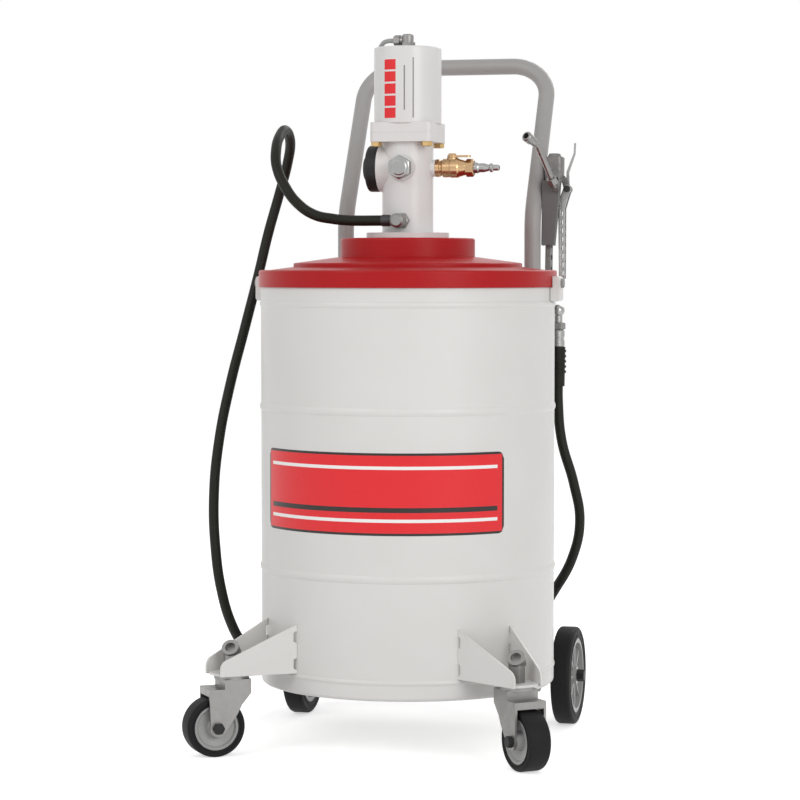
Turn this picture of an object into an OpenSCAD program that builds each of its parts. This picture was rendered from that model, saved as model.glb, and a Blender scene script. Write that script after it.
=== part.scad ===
// Mobile pneumatic grease pump.
// A steel grease drum on two swivel casters and two fixed wheels carries an air-driven
// piston pump on its lid, a push handle, a grease hose and a control gun in a holder.
// Millimetres. +Z is up, the floor is Z = 0, the front is -Y. The origin lies on the
// floor under the middle of the outline, and the drum's axis stands a little in front of it.

/* [Drum] */
// Outside diameter of the drum
drum_d = 380; // [360:2:400]
// Height of the drum's lower edge above the floor
drum_base_z = 75; // [74:1:80]
// Height of the drum's shell from its lower edge to its rim
drum_h = 528; // [500:2:560]
// Thickness of the drum's sheet
drum_wall = 1.5; // [1:0.1:2]
// Height of the drum's floor above its lower edge
floor_lift = 16; // [12:1:20]
// How far a rolled bead stands proud
bead_proud = 1.6; // [1:0.1:2.4]
// Height of the lower bead above the drum's lower edge
low_bead_h = 151; // [130:1:180]
// Height of the upper bead above the drum's lower edge
high_bead_h = 358; // [320:1:400]
// Distance of the top bead below the rim
top_bead_drop = 38; // [34:1:60]

/* [Lid] */
// Thickness of the lid's sheet
lid_t = 2; // [1.5:0.1:2.5]
// Thickness of the gasket on the drum's rim
gasket_t = 3; // [2:0.5:4]
// Depth of the lid's skirt
skirt_h = 22; // [18:1:26]
// Diameter of the lid's step
step_d = 296; // [270:2:310]
// Diameter of the lid's hub
hub_d = 174; // [150:2:190]
// Height of the hub's top above the lid's edge
hub_h = 41; // [36:1:48]

/* [Pump] */
// Diameter of the pump's base flange
base_flange_d = 107; // [96:1:120]
// Thickness of the pump's base flange
base_flange_t = 7; // [5:0.5:10]
// Diameter of the pump's column
column_d = 66; // [62:1:70]
// Height of the column between its flanges
column_h = 116; // [112:1:130]
// Width of the square flanges under the air cylinder
head_w = 82; // [80:1:88]
// Thickness of the column's square flange
head_t = 12; // [10:1:16]
// Thickness of the air cylinder's square flange
cylinder_flange_t = 13; // [13:1:18]
// Outside diameter of the air cylinder
cylinder_d = 87; // [84:1:88]
// Height of the air cylinder above its flange
cylinder_h = 97; // [90:1:120]
// Bore of the air cylinder
cylinder_bore = 78; // [74:1:79]
// Stroke of the air piston
stroke = 80; // [60:1:80]
// Spacing of the head bolts
head_bolt_pitch = 66; // [66:0.5:67]
// Outside diameter of the pump tube in the drum
pump_tube_d = 44; // [40:1:46]
// Wall of the pump tube
pump_tube_wall = 3; // [3:0.5:5]
// Diameter of the pump rod
rod_d = 14; // [12:1:16]

/* [Air inlet] */
// Height of the air ports above the column's foot
port_h = 83; // [80:1:86]
// Diameter of the air valve's body
valve_d = 24; // [22:1:30]
// Diameter of the valve's ball
ball_d = 14; // [12:1:15]
// Diameter of the shoulder on the air nipple
nipple_d = 11.8; // [11:0.1:12]
// Length of the air nipple
nipple_l = 33; // [30:1:40]

/* [Casters] */
// Distance of a caster's stem from the drum's axis
stem_r = 258; // [250:1:270]
// Diameter of a caster wheel
caster_d = 75; // [72:1:76]
// Width of a caster tyre
caster_w = 30; // [24:1:32]
// Distance of a caster's axle behind its stem
trail = 24; // [20:1:30]
// Thickness of the folded caster brackets
bracket_t = 3; // [2.5:0.1:4]
// Height of a caster bracket's floor plate above the floor
bracket_z = 102; // [100:1:104]
// Height of a caster bracket at the drum
bracket_h = 60; // [50:1:70]
// Diameter of a caster's king pin
king_d = 12; // [10:0.5:14]

/* [Rear wheels] */
// Diameter of a rear wheel
rear_d = 130; // [120:1:134]
// Width of a rear tyre
rear_w = 26; // [22:1:30]
// Distance of a rear wheel's middle from the centre plane
rear_x = 185; // [180:1:195]
// Distance of the rear axle behind the drum's axis
rear_y = 149; // [140:1:155]
// Diameter of the rear axle
axle_d = 10; // [8:0.5:16]

/* [Handle] */
// Diameter of the handle's tube
handle_d = 22; // [20:1:24]
// Wall of the handle's tube
handle_wall = 2; // [1.5:0.5:3]
// Distance of a handle leg from the centre plane
handle_x = 130; // [125:1:135]
// Distance of the handle's legs behind the drum's axis
handle_y = 172; // [170:1:180]
// Height at which the legs start to lean back
lean_z = 660; // [640:1:690]
// Angle by which the handle leans back
lean = 30; // [20:1:35]
// Height of the handle's top tube
handle_top_z = 890; // [860:1:920]
// Bend radius at the handle's top corners
corner_r = 52; // [45:1:65]

/* [Gun] */
// Distance of the gun's grip from the centre plane
gun_x = 151; // [150:1:153]
// Distance of the gun's grip behind the drum's axis
gun_y = 192; // [190:1:196]
// Height of the holder's top edge
holder_z = 727; // [720:1:740]
// Height of the holder
holder_h = 87; // [80:1:110]
// Length of the gun's grip below the holder's top edge
grip_l = 160; // [150:1:180]
// Angle by which the gun and its holder lean back
gun_lean = 4; // [2:1:8]
// Angle by which the lever stands off the grip at rest
lever_rest = 1.5; // [1.5:0.5:4]
// Diameter of the nozzle's pipe
pipe_d = 8; // [6:0.5:10]
// Diameter of the grease coupler
coupler_d = 14; // [13:0.5:16]
// Bore of the grease coupler's mouth
coupler_bore = 8; // [6:0.5:10]

/* [Hose] */
// Outside diameter of the grease hose
hose_d = 13.5; // [12:0.5:15]

/* [Hidden] */
$fn = 72;

// Clearances: a static fit, a running shaft, a gap between moving faces, an overlap for cuts
fit = 0.2;
run = 0.05;
gap = 0.3;
cut = 1;

// Paint and material colours
white = [0.86, 0.86, 0.85];
red = [0.70, 0.14, 0.16];
grey = [0.59, 0.58, 0.57];
dark = [0.39, 0.38, 0.38];
zinc = [0.66, 0.66, 0.66];
black = [0.13, 0.13, 0.13];
brass = [0.78, 0.59, 0.36];
yellow_zinc = [0.80, 0.68, 0.46];
steel = [0.70, 0.71, 0.72];
hub_grey = [0.62, 0.62, 0.61];

// Drum and lid levels
drum_r = drum_d / 2;
rim_z = drum_base_z + drum_h;
drum_floor_z = drum_base_z + floor_lift + drum_wall;
lid_z = rim_z + gasket_t;
edge_z = lid_z + lid_t;
skirt_z = edge_z - skirt_h;
skirt_gap = 0.8;
skirt_r = drum_r + skirt_gap + lid_t;
hub_z = edge_z + hub_h;

// Pump levels
column_z = hub_z + base_flange_t;
head_z = column_z + column_h;
cylinder_z = head_z + head_t;
can_z = cylinder_z + cylinder_flange_t;
top_z = can_z + cylinder_h;
port_z = column_z + port_h;
outlet_z = column_z + 15;
outlet_y = -column_d / 2 - 19;

// Caster levels
caster_r = caster_d / 2;
tyre_edge = 4;
fork_half = 21.5;
fork_t = 3;
crown_z = bracket_z - gap;
side_angle = [-135, -45];
caster_turn = [-10, -4];

// Rear wheel levels
rear_r = rear_d / 2;
bracket_x = handle_x + handle_d / 2 + fit;
axle_plate_t = 5;
hub_half = rear_w / 2 - 1;

// Handle outline
lean_r = 80;
lean_rise = lean_r * sin(lean);
lean_back = lean_r * (1 - cos(lean));
lean_l = (handle_top_z - lean_z - lean_rise) / cos(lean);
handle_back = handle_y + lean_back + lean_l * sin(lean);

// Front and back reach of the outline, which set the drum's place
diag = cos(45);
front_dir = side_angle[1] + caster_turn[1];
front_reach = stem_r * diag - (trail + caster_r - tyre_edge) * sin(front_dir)
  + (caster_w / 2 - tyre_edge) * cos(front_dir) + tyre_edge;
back_reach = handle_back + handle_d / 2;
axis_y = (front_reach - back_reach) / 2;

// Gun levels
lever_l = 130;
pivot_z = holder_z - 10;
pivot_x = gun_x + 21;
grip_x = gun_x - 3;
swivel_z = holder_z - grip_l;
swivel_x = gun_x + 11;
swivel_arm = 14;
swivel_y = gun_y - swivel_arm * sin(gun_lean);
ball_z = swivel_z - swivel_arm * cos(gun_lean);
drop_z = ball_z - 16;
guard_z = swivel_z - 116;

// Points on an arc, from angle a to angle b, in steps of one n-th
function arc(c, r, a, b, n = 6) = [for (i = [0 : n])
  c + r * [cos(a + (b - a) * i / n), sin(a + (b - a) * i / n)]];

// Outline of a rectangle with rounded corners, centred
function rounded(w, h, r, n = 6) = concat(
  arc([w / 2 - r, h / 2 - r], r, 0, 90, n),
  arc([r - w / 2, h / 2 - r], r, 90, 180, n),
  arc([r - w / 2, r - h / 2], r, 180, 270, n),
  arc([w / 2 - r, r - h / 2], r, 270, 360, n)
);

// Outline of a slot with round ends, centred, lying along X
function slot(l, w, n = 8) = concat(
  arc([(l - w) / 2, 0], w / 2, -90, 90, n),
  arc([(w - l) / 2, 0], w / 2, 90, 270, n)
);

// Points of a rolled bead that swells from radius r by p over twice the half height hb
function bead(r, z, p, hb, n = 8) = let (
  ra = (hb * hb + p * p) / (2 * p),
  a = asin(hb / ra)
) arc([r + p - ra, z], ra, -a, a, n);

function reversed(list) = [for (i = [len(list) - 1 : -1 : 0]) list[i]];

// Moves from the drum's axis to the part's own origin
module placed() {
  translate([0, axis_y, 0]) children();
}

// Both sides of the centre plane
module both_sides() {
  children();
  mirror([1, 0, 0]) children();
}

module toward_x() {
  rotate([0, 90, 0]) children();
}

module toward_front() {
  rotate([90, 0, 0]) children();
}

module toward_back() {
  rotate([-90, 0, 0]) children();
}

module hexagon(af, h) {
  cylinder(h = h, d = af / cos(30), $fn = 6);
}

// A hexagon with its outer corners turned off
module turned_hexagon(af, h) {
  bevel = af * 0.08;
  intersection() {
    hexagon(af, h);
    union() {
      cylinder(h = h - bevel, d = af * 1.2);
      translate([0, 0, h - bevel]) cylinder(h = bevel, d1 = af * 1.2, d2 = af * 0.94);
    }
  }
}

// Drum and lid

// Beads of the shell, each with its height, its swell and its half height
foot_bead = [drum_base_z + floor_lift + 7, bead_proud * 0.75, 3];
top_bead = [rim_z - top_bead_drop, bead_proud, 4];
shell_beads = [
  foot_bead,
  [drum_base_z + low_bead_h, bead_proud, 5],
  [drum_base_z + high_bead_h, bead_proud, 5],
  top_bead
];
chime_t = 5;
curl_t = 4;
curl_h = 6;

function shell_line(r) = [for (b = shell_beads) each bead(r, b[0], b[1], b[2])];

// The space round the shell that a piece seated on it leaves free, with one of its beads
module shell_space(z, h, b) {
  translate([0, 0, z]) cylinder(h = h, r = drum_r + fit, $fn = 128);
  translate([0, 0, b[0] - b[2]]) cylinder(h = 2 * b[2], r = drum_r + b[1] + fit, $fn = 128);
}

module drum_body() {
  inner = drum_r - drum_wall;
  floor_z = drum_base_z + floor_lift;
  outside = concat(
    [[0, floor_z], [drum_r - chime_t, floor_z]],
    arc([drum_r - chime_t, drum_base_z + chime_t], chime_t, -90, 0),
    shell_line(drum_r),
    [[drum_r, rim_z], [drum_r - curl_t, rim_z], [drum_r - curl_t, rim_z - curl_h]]
  );
  inside = concat(
    [[inner, rim_z - curl_h - drum_wall]],
    reversed(shell_line(inner)),
    [[inner, drum_floor_z], [0, drum_floor_z]]
  );
  color(white) placed() rotate_extrude($fn = 128) polygon(concat(outside, inside));
}

lid_edge_r = 3;
lid_flat = 12;
step_rise = 4;
step_h = 5;
cone_rise = 8;

module lid() {
  step_r = step_d / 2;
  hub_r = hub_d / 2;
  hole_r = pump_tube_d / 2 + fit;
  flat_r = drum_r - lid_flat;
  step_z = edge_z + step_rise;
  cone_z = step_z + step_h;
  hub_foot_z = cone_z + cone_rise;
  outside = concat(
    [[skirt_r, skirt_z]],
    arc([skirt_r - lid_edge_r, edge_z - lid_edge_r], lid_edge_r, 0, 90),
    [[flat_r, edge_z], [step_r, step_z]],
    arc([step_r - lid_t, cone_z - lid_t], lid_t, 0, 80, 4),
    [[hub_r, hub_foot_z]],
    arc([hub_r - lid_edge_r, hub_z - lid_edge_r], lid_edge_r, 0, 90),
    [[hole_r, hub_z]]
  );
  inside = [
    [hole_r, hub_z - lid_t],
    [hub_r - lid_t, hub_z - lid_t],
    [hub_r - lid_t, hub_foot_z - lid_t],
    [step_r - lid_t, cone_z - lid_t],
    [step_r - lid_t, step_z - lid_t],
    [flat_r, lid_z],
    [skirt_r - lid_t, lid_z],
    [skirt_r - lid_t, skirt_z]
  ];
  color(red) placed() rotate_extrude($fn = 128) polygon(concat(outside, inside));
}

gasket_w = 9;

module lid_gasket() {
  color(black) placed() translate([0, 0, rim_z]) difference() {
    cylinder(h = gasket_t, r = drum_r, $fn = 128);
    translate([0, 0, -cut]) cylinder(h = gasket_t + 2 * cut, r = drum_r - gasket_w, $fn = 128);
  }
}

clamp_w = 27;
clamp_out = 12;
clamp_below = 18;
clamp_above = 14;
clamp_screw_d = 6;
clamp_screw_z = skirt_z + 5;

// Welded lug that reaches up over the skirt and takes a screw through its face
module lid_clamp() {
  foot_x = drum_r + fit;
  lap_x = skirt_r + fit;
  out_x = drum_r + clamp_out;
  corner = 4;
  profile = concat(
    [[foot_x, skirt_z - clamp_below], [out_x - corner, skirt_z - clamp_below]],
    arc([out_x - corner, skirt_z - clamp_below + corner], corner, -90, 0),
    arc([out_x - corner, skirt_z + clamp_above - corner], corner, 0, 90),
    [[lap_x, skirt_z + clamp_above], [lap_x, skirt_z - gap], [foot_x, skirt_z - gap]]
  );
  difference() {
    translate([0, clamp_w / 2, 0]) toward_front() linear_extrude(clamp_w) polygon(profile);
    shell_space(skirt_z - clamp_below - cut, clamp_below, top_bead);
    translate([lap_x - cut, 0, clamp_screw_z]) toward_x()
      cylinder(h = clamp_out + 2 * cut, d = clamp_screw_d + 2 * fit);
  }
}

module lid_clamps() {
  color(white) placed() both_sides() lid_clamp();
}

// Pointed screws whose ends press on the skirt
module clamp_screws() {
  head_h = 4;
  out_x = drum_r + clamp_out;
  color(zinc) placed() both_sides() translate([0, 0, clamp_screw_z]) {
    translate([skirt_r + fit / 2, 0, 0]) toward_x() cylinder(h = out_x - skirt_r, d = clamp_screw_d);
    translate([out_x, 0, 0]) toward_x() turned_hexagon(10, head_h);
  }
}

// Front casters

post_af = 18;
post_h = 27;
cup_d = 22;
cup_l = 14;
cup_tilt = 50;
in_half = 39;
out_half = 26;
plate_end = 26;
outer_h = 22;
end_r = 13;
weld_slots = [12, 46];
weld_slot_in = -2.5;

// Folded bracket in its own frame: X runs outwards from the drum's axis
module bracket_solid() {
  slant = atan((in_half - out_half) / (stem_r - drum_r));
  inner_u = drum_r - 12;
  inner_half = in_half + 12 * tan(slant);
  side_l = (stem_r + plate_end - drum_r) / cos(slant);
  side = concat(
    [[-14, 0], [side_l, 0]],
    arc([side_l - end_r, outer_h - end_r], end_r, 0, 70),
    [[0, bracket_h], [-14, bracket_h + 8]]
  );
  tip_u = stem_r + plate_end;
  tip_half = in_half - (tip_u - drum_r) * tan(slant);
  floor_plate = concat(
    [[inner_u, -inner_half]],
    arc([tip_u - end_r, end_r - tip_half], end_r, slant - 90, 0),
    arc([tip_u - end_r, tip_half - end_r], end_r, 0, 90 - slant),
    [[inner_u, inner_half]]
  );
  difference() {
    union() {
      translate([0, 0, bracket_z]) linear_extrude(bracket_t) polygon(floor_plate);
      for (m = [0, 1]) mirror([0, m, 0])
        translate([drum_r, in_half, bracket_z]) rotate([0, 0, -slant])
          toward_front() linear_extrude(bracket_t) difference() {
            polygon(side);
            for (h = weld_slots) translate([weld_slot_in, h]) rotate(90) polygon(slot(14, 6));
          }
    }
    shell_space(bracket_z - cut, bracket_h + 30, foot_bead);
    translate([stem_r, 0, bracket_z - cut]) cylinder(h = bracket_t + 2 * cut, d = king_d + 2 * fit);
  }
}

module at_side(side) {
  placed() rotate([0, 0, side_angle[side]]) children();
}

module bracket_left() {
  color(white) at_side(0) bracket_solid();
}

module bracket_right() {
  color(white) at_side(1) bracket_solid();
}

post_z = bracket_z + bracket_t;

// Post over the king pin with an angled cup on its top that faces the front
module stem_post() {
  difference() {
    union() {
      translate([0, 0, post_z]) hexagon(post_af, post_h);
      translate([0, 0, post_z + post_h]) rotate([cup_tilt, 0, 0])
        translate([0, 0, -cup_l / 2]) cylinder(h = cup_l, d = cup_d);
    }
    translate([0, 0, post_z + post_h]) rotate([cup_tilt, 0, 0])
      translate([0, 0, cup_l / 2 - 7]) cylinder(h = 8, d = cup_d - 9);
    translate([0, 0, post_z - cut]) cylinder(h = post_h - 10 + cut, d = king_d + 2 * run);
  }
}

module stem_posts() {
  color(zinc) placed() for (a = side_angle)
    translate([stem_r * cos(a), stem_r * sin(a), 0]) stem_post();
}

crown_h = 4;
race_d = 44;
race_h = 4;
boss_r = 10.5;
crown_front = 15;
crown_back = 19;
hood_front = trail + 11;
hood_z = caster_d + 11;
hood_lip_z = caster_d + 2;
back_lip_z = caster_d + 5;

// Pressed yoke: X is the trailing direction, the stem's axis is the origin
module fork_solid() {
  deck_z = crown_z - race_h;
  outline = concat(
    [[-crown_back, deck_z], [-crown_back, back_lip_z], [-7, 66], [-1, 54], [trail - boss_r, caster_r - 4]],
    [[trail + boss_r - 1, caster_r + 4], [hood_front, hood_lip_z - 5], [hood_front, hood_z]],
    [[crown_front, hood_z], [crown_front, deck_z]]
  );
  hollow = [
    [-crown_back - cut, back_lip_z], [fork_t - crown_back, back_lip_z],
    [fork_t - crown_back, deck_z - crown_h],
    [crown_front - fork_t, deck_z - crown_h], [crown_front - fork_t, hood_z - fork_t],
    [hood_front - fork_t, hood_z - fork_t], [hood_front - fork_t, hood_lip_z],
    [hood_front + cut, hood_lip_z], [hood_front + cut, 0], [-crown_back - cut, 0]
  ];
  inner_half = fork_half - fork_t;
  difference() {
    union() {
      translate([0, 0, deck_z - cut]) cylinder(h = race_h + cut, d = race_d);
      difference() {
        translate([0, fork_half, 0]) toward_front() linear_extrude(2 * fork_half) polygon(outline);
        translate([0, inner_half, 0]) toward_front() linear_extrude(2 * inner_half) polygon(hollow);
      }
      for (v = [-inner_half, fork_half]) translate([trail, v, caster_r]) toward_front()
        cylinder(h = fork_t, r = boss_r);
    }
    translate([0, 0, deck_z - 30]) cylinder(h = 60, d = king_d + fit);
    translate([trail, fork_half + cut, caster_r]) toward_front()
      cylinder(h = 2 * fork_half + 2 * cut, d = caster_axle_d + fit);
  }
}

caster_axle_d = 8;

module at_stem(side) {
  at_side(side) translate([stem_r, 0, 0]) rotate([0, 0, caster_turn[side]]) children();
}

module fork_left() {
  color(zinc) at_stem(0) fork_solid();
}

module fork_right() {
  color(zinc) at_stem(1) fork_solid();
}

// King pin with its head under the crown
module king_pin_solid() {
  foot_z = crown_z - race_h - crown_h;
  translate([0, 0, foot_z]) cylinder(h = post_z + post_h - 10 - gap - foot_z, d = king_d);
  translate([0, 0, foot_z - 3]) cylinder(h = 3, d = king_d + 8);
}

module king_pin_left() {
  color(steel) at_stem(0) king_pin_solid();
}

module king_pin_right() {
  color(steel) at_stem(1) king_pin_solid();
}

axle_cap_d = 13;
axle_cap_h = 6;

module caster_axle_solid() {
  translate([trail, fork_half, caster_r]) toward_front() cylinder(h = 2 * fork_half, d = caster_axle_d);
  for (m = [0, 1]) mirror([0, m, 0])
    translate([trail, fork_half, caster_r]) toward_back() turned_hexagon(axle_cap_d, axle_cap_h);
}

module caster_axle_left() {
  color(black) at_stem(0) caster_axle_solid();
}

module caster_axle_right() {
  color(black) at_stem(1) caster_axle_solid();
}

caster_rim_r = caster_r - 9;

// Dished wheel centre, turned about its own axis
module caster_hub_solid() {
  half = caster_w / 2;
  face = fork_half - fork_t - gap;
  bore_r = caster_axle_d / 2 + run;
  profile = concat(
    [[bore_r, -face], [11, -face], [12, -half + 6]],
    [[caster_rim_r - 5, -half + 4], [caster_rim_r - 3, -half + 1], [caster_rim_r, -half + 1]],
    [[caster_rim_r, half - 1], [caster_rim_r - 3, half - 1], [caster_rim_r - 5, half - 4]],
    [[12, half - 6], [11, face], [bore_r, face]]
  );
  translate([trail, 0, caster_r]) toward_front() rotate_extrude() polygon(profile);
}

module caster_hub_left() {
  color(hub_grey) at_stem(0) caster_hub_solid();
}

module caster_hub_right() {
  color(hub_grey) at_stem(1) caster_hub_solid();
}

// Tyre section: a rounded tread on a straight seat
module tyre_solid(r, seat_r, w, edge) {
  profile = concat(
    [[seat_r, -w / 2]],
    arc([r - edge, edge - w / 2], edge, -90, 0),
    arc([r - edge, w / 2 - edge], edge, 0, 90),
    [[seat_r, w / 2]]
  );
  toward_front() rotate_extrude($fn = 96) polygon(profile);
}

module caster_tyre_solid() {
  translate([trail, 0, caster_r]) tyre_solid(caster_r, caster_rim_r, caster_w, tyre_edge);
}

module caster_tyre_left() {
  color(black) at_stem(0) caster_tyre_solid();
}

module caster_tyre_right() {
  color(black) at_stem(1) caster_tyre_solid();
}

// Rear wheels

axle_out = rear_x + rear_w / 2 + 6;
nut_h = 8;
nut_af = 14;

module rear_axle() {
  color(steel) placed() translate([-axle_out, rear_y, rear_r]) toward_x()
    cylinder(h = 2 * axle_out, d = axle_d);
}

plate_low = 24;
plate_high = 120;

// Gusset plates between the drum, the handle legs and the rear axle
module axle_brackets() {
  back_y = handle_y + handle_d / 2;
  front_y = 95;
  profile = concat(
    [[front_y, drum_base_z + 25], [rear_y - plate_low, rear_r - 6]],
    arc([rear_y, rear_r], plate_low, 195, 345, 10),
    [[back_y, drum_base_z + 40], [back_y, drum_base_z + plate_high], [front_y, drum_base_z + plate_high]]
  );
  color(white) placed() both_sides() difference() {
    translate([bracket_x, 0, 0]) rotate([90, 0, 90]) linear_extrude(axle_plate_t) polygon(profile);
    translate([0, 0, drum_base_z - 60])
      cylinder(h = plate_high + 140, r = drum_r + bead_proud + fit, $fn = 128);
    translate([bracket_x - cut, rear_y, rear_r]) toward_x()
      cylinder(h = axle_plate_t + 2 * cut, d = axle_d + 2 * fit);
  }
}

// Spacer tubes between the gusset plates and the hubs
module axle_spacers() {
  x0 = bracket_x + axle_plate_t;
  l = rear_x - hub_half - gap - x0;
  color(zinc) placed() both_sides() translate([x0, rear_y, rear_r]) toward_x() difference() {
    cylinder(h = l, d = axle_d + 8);
    translate([0, 0, -cut]) cylinder(h = l + 2 * cut, d = axle_d + 2 * fit);
  }
}

// End caps pressed over the axle's ends
module axle_nuts() {
  x0 = rear_x + hub_half + gap;
  l = axle_out - x0 + 3;
  color(black) placed() both_sides() translate([x0, rear_y, rear_r]) toward_x() difference() {
    turned_hexagon(nut_af, l);
    translate([0, 0, -cut]) cylinder(h = l - 3 + cut, d = axle_d + 2 * fit);
  }
}

rear_rim_r = 50;
spokes = 8;

// Moulded wheel centre with a rim, a thin web, a boss and radial ribs on both faces
module rear_hub_solid() {
  boss_r = axle_d / 2 + 7;
  rim_in = rear_rim_r - 6;
  web = 3;
  difference() {
    union() {
      rotate_extrude($fn = 96) polygon([
        [rim_in, -hub_half], [rear_rim_r, -hub_half], [rear_rim_r, hub_half], [rim_in, hub_half]
      ]);
      translate([0, 0, -web]) cylinder(h = 2 * web, r = rim_in + cut);
      translate([0, 0, -hub_half]) cylinder(h = 2 * hub_half, r = boss_r);
      for (i = [0 : spokes - 1]) rotate([0, 0, i * 360 / spokes])
        translate([boss_r - cut, -2, 3 - hub_half]) cube([rim_in - boss_r + 2 * cut, 4, 2 * hub_half - 6]);
    }
    translate([0, 0, -hub_half - cut]) cylinder(h = 2 * hub_half + 2 * cut, d = axle_d + 2 * run);
  }
}

module at_rear(side) {
  placed() translate([side * rear_x, rear_y, rear_r]) children();
}

module rear_hub_left() {
  color(hub_grey) at_rear(-1) toward_x() rear_hub_solid();
}

module rear_hub_right() {
  color(hub_grey) at_rear(1) toward_x() rear_hub_solid();
}

rear_edge = 5;

module rear_tyre_left() {
  color(black) at_rear(-1) rotate([0, 0, 90]) tyre_solid(rear_r, rear_rim_r, rear_w, rear_edge);
}

module rear_tyre_right() {
  color(black) at_rear(1) rotate([0, 0, 90]) tyre_solid(rear_r, rear_rim_r, rear_w, rear_edge);
}

// Push handle

leg_foot_z = drum_base_z + 10;
standoff_d = 18;
leg_dir = atan2(handle_y, handle_x);
leg_r = norm([handle_x, handle_y]);
standoff_heights = [rim_z - 90, drum_base_z + low_bead_h + 40];

// Middle line of the right half: up the leg, back through the lean and round the top corner
corner_steps = 8;
lean_steps = 5;
lean_dir = [0, sin(lean), cos(lean)];
lean_top = [handle_x, handle_y + lean_back, lean_z + lean_rise];
corner_middle = lean_top + lean_dir * (lean_l - corner_r) - [corner_r, 0, 0];
right_line = concat(
  [[handle_x, handle_y, leg_foot_z]],
  [for (i = [0 : lean_steps]) let (t = lean * i / lean_steps)
    [handle_x, handle_y + lean_r * (1 - cos(t)), lean_z + lean_r * sin(t)]],
  [for (i = [0 : corner_steps]) let (t = 90 * i / corner_steps)
    corner_middle + corner_r * (cos(t) * [1, 0, 0] + sin(t) * lean_dir)]
);
left_line = reversed([for (p = right_line) [-p[0], p[1], p[2]]]);
handle_sides = 24;

module handle_frame() {
  color(grey) placed() swept(concat(right_line, left_line), handle_d, handle_sides, handle_wall);
}

module standoff_places() {
  placed() both_sides() rotate([0, 0, leg_dir]) for (z = standoff_heights)
    translate([drum_r, 0, z]) toward_x() children();
}

// Welded stubs that hold the legs off the drum
module handle_standoffs() {
  color(grey) standoff_places() translate([0, 0, fit])
    cylinder(h = leg_r - drum_r - handle_d / 2 - 2 * fit, d = standoff_d);
}

// Gun holder and gun

// The gun's own frame, which leans back about the foot of the grip
module in_gun() {
  placed() translate([0, gun_y, swivel_z]) rotate([-gun_lean, 0, 0])
    translate([0, -gun_y, -swivel_z]) children();
}

holder_t = 2;
holder_low_w = 17;
holder_top_w = 24;
holder_x = handle_x + handle_d / 2 + fit;
holder_web_y = handle_y - 2;
flange_deep = 14;

// Folded channel: the web faces the front, one flange lies along the leg, the other flares out
module gun_holder() {
  z0 = holder_z - holder_h;
  flare = atan((holder_top_w - holder_low_w) / holder_h);
  web = [[0, 0], [holder_low_w, 0], [holder_top_w, holder_h], [0, holder_h]];
  edge = [[0, 0], [0, holder_h], [-holder_t / cos(flare), holder_h], [-holder_t / cos(flare), 0]];
  free = [for (p = edge) p + [holder_low_w + (holder_top_w - holder_low_w) * p[1] / holder_h, 0]];
  color(dark) in_gun() translate([holder_x, holder_web_y, z0]) {
    translate([0, holder_t, 0]) toward_front() linear_extrude(holder_t) polygon(web);
    cube([holder_t, flange_deep, holder_h]);
    translate([0, flange_deep, 0]) toward_front() linear_extrude(flange_deep) polygon(free);
  }
}

grip_w = 7;
grip_deep = 18;
head_h = 33;
head_deep = 24;
head_left = gun_x - holder_x;
head_right = 15;
boss_x = 9.5;
boss_y = -32;
boss_z = -9;
boss_d = 12;
boss_h = 5;
neck_w = 10;
lug_t = 6;
lug_r = 5.5;
lug_h = 18;

// Cast gun: a ribbed grip, a head that rests on the holder and an outlet boss in front
module gun_body() {
  windows = 6;
  pitch = 16;
  lug = concat(
    [[head_right - 4, lug_h], [head_right + 2, lug_h]],
    arc([pivot_x - gun_x, 0], lug_r, 20, -200, 10)
  );
  neck = [
    [-8, 3 + fit], [-8, 15], [-26, 13], [boss_y - 5, 0], [boss_y - 7, -8],
    [boss_y + 1, -15], [-24.2, -8], [-24.2, 3 + fit]
  ];
  color(zinc) in_gun() translate([gun_x, gun_y, 0]) difference() {
    union() {
      translate([grip_x - gun_x - grip_w / 2, 0, swivel_z]) rotate([90, 0, 90]) linear_extrude(grip_w)
        translate([0, (grip_l + 12) / 2]) polygon(rounded(grip_deep, grip_l + 12, 5));
      translate([(head_right - head_left) / 2, 0, holder_z + fit]) linear_extrude(head_h)
        polygon(rounded(head_left + head_right, head_deep, 6));
      translate([(head_right - head_left) / 2, 0, holder_z + fit + head_h])
        cylinder(h = 5, d1 = 20, d2 = 15);
      difference() {
        translate([boss_x - neck_w / 2, 0, holder_z]) rotate([90, 0, 90])
          linear_extrude(neck_w) polygon(neck);
        translate([boss_x, boss_y, holder_z + boss_z]) pipe_tilt()
          translate([0, 0, boss_h - fit]) cylinder(h = 40, d = pipe_nut_af * 1.3);
      }
      translate([boss_x, boss_y, holder_z + boss_z]) pipe_tilt() cylinder(h = boss_h, d = boss_d);
      translate([0, lug_t / 2, pivot_z]) toward_front() linear_extrude(lug_t) polygon(lug);
    }
    for (i = [0 : windows - 1]) translate([grip_x - gun_x, 0, swivel_z + 26 + i * pitch]) both_sides()
      translate([grip_w / 2 - 1.5, 0, 0]) rotate([90, 0, 90]) linear_extrude(4) polygon(slot(12, 7));
    translate([pivot_x - gun_x, lug_t / 2 + cut, pivot_z]) toward_front()
      cylinder(h = lug_t + 2 * cut, d = lever_pin_d + 2 * run);
  }
}

lever_pin_d = 5;
lever_t = 2.5;
lever_w = 13;
lever_holes = 6;
cheek_in = lug_t / 2 + gap;
cheek_t = lever_w / 2 - fit - cheek_in;
strip_x = -12;
strip_top = -8;
cheek_foot = -26;
wall_slots = 8;
wall_pitch = 11.5;

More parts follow.
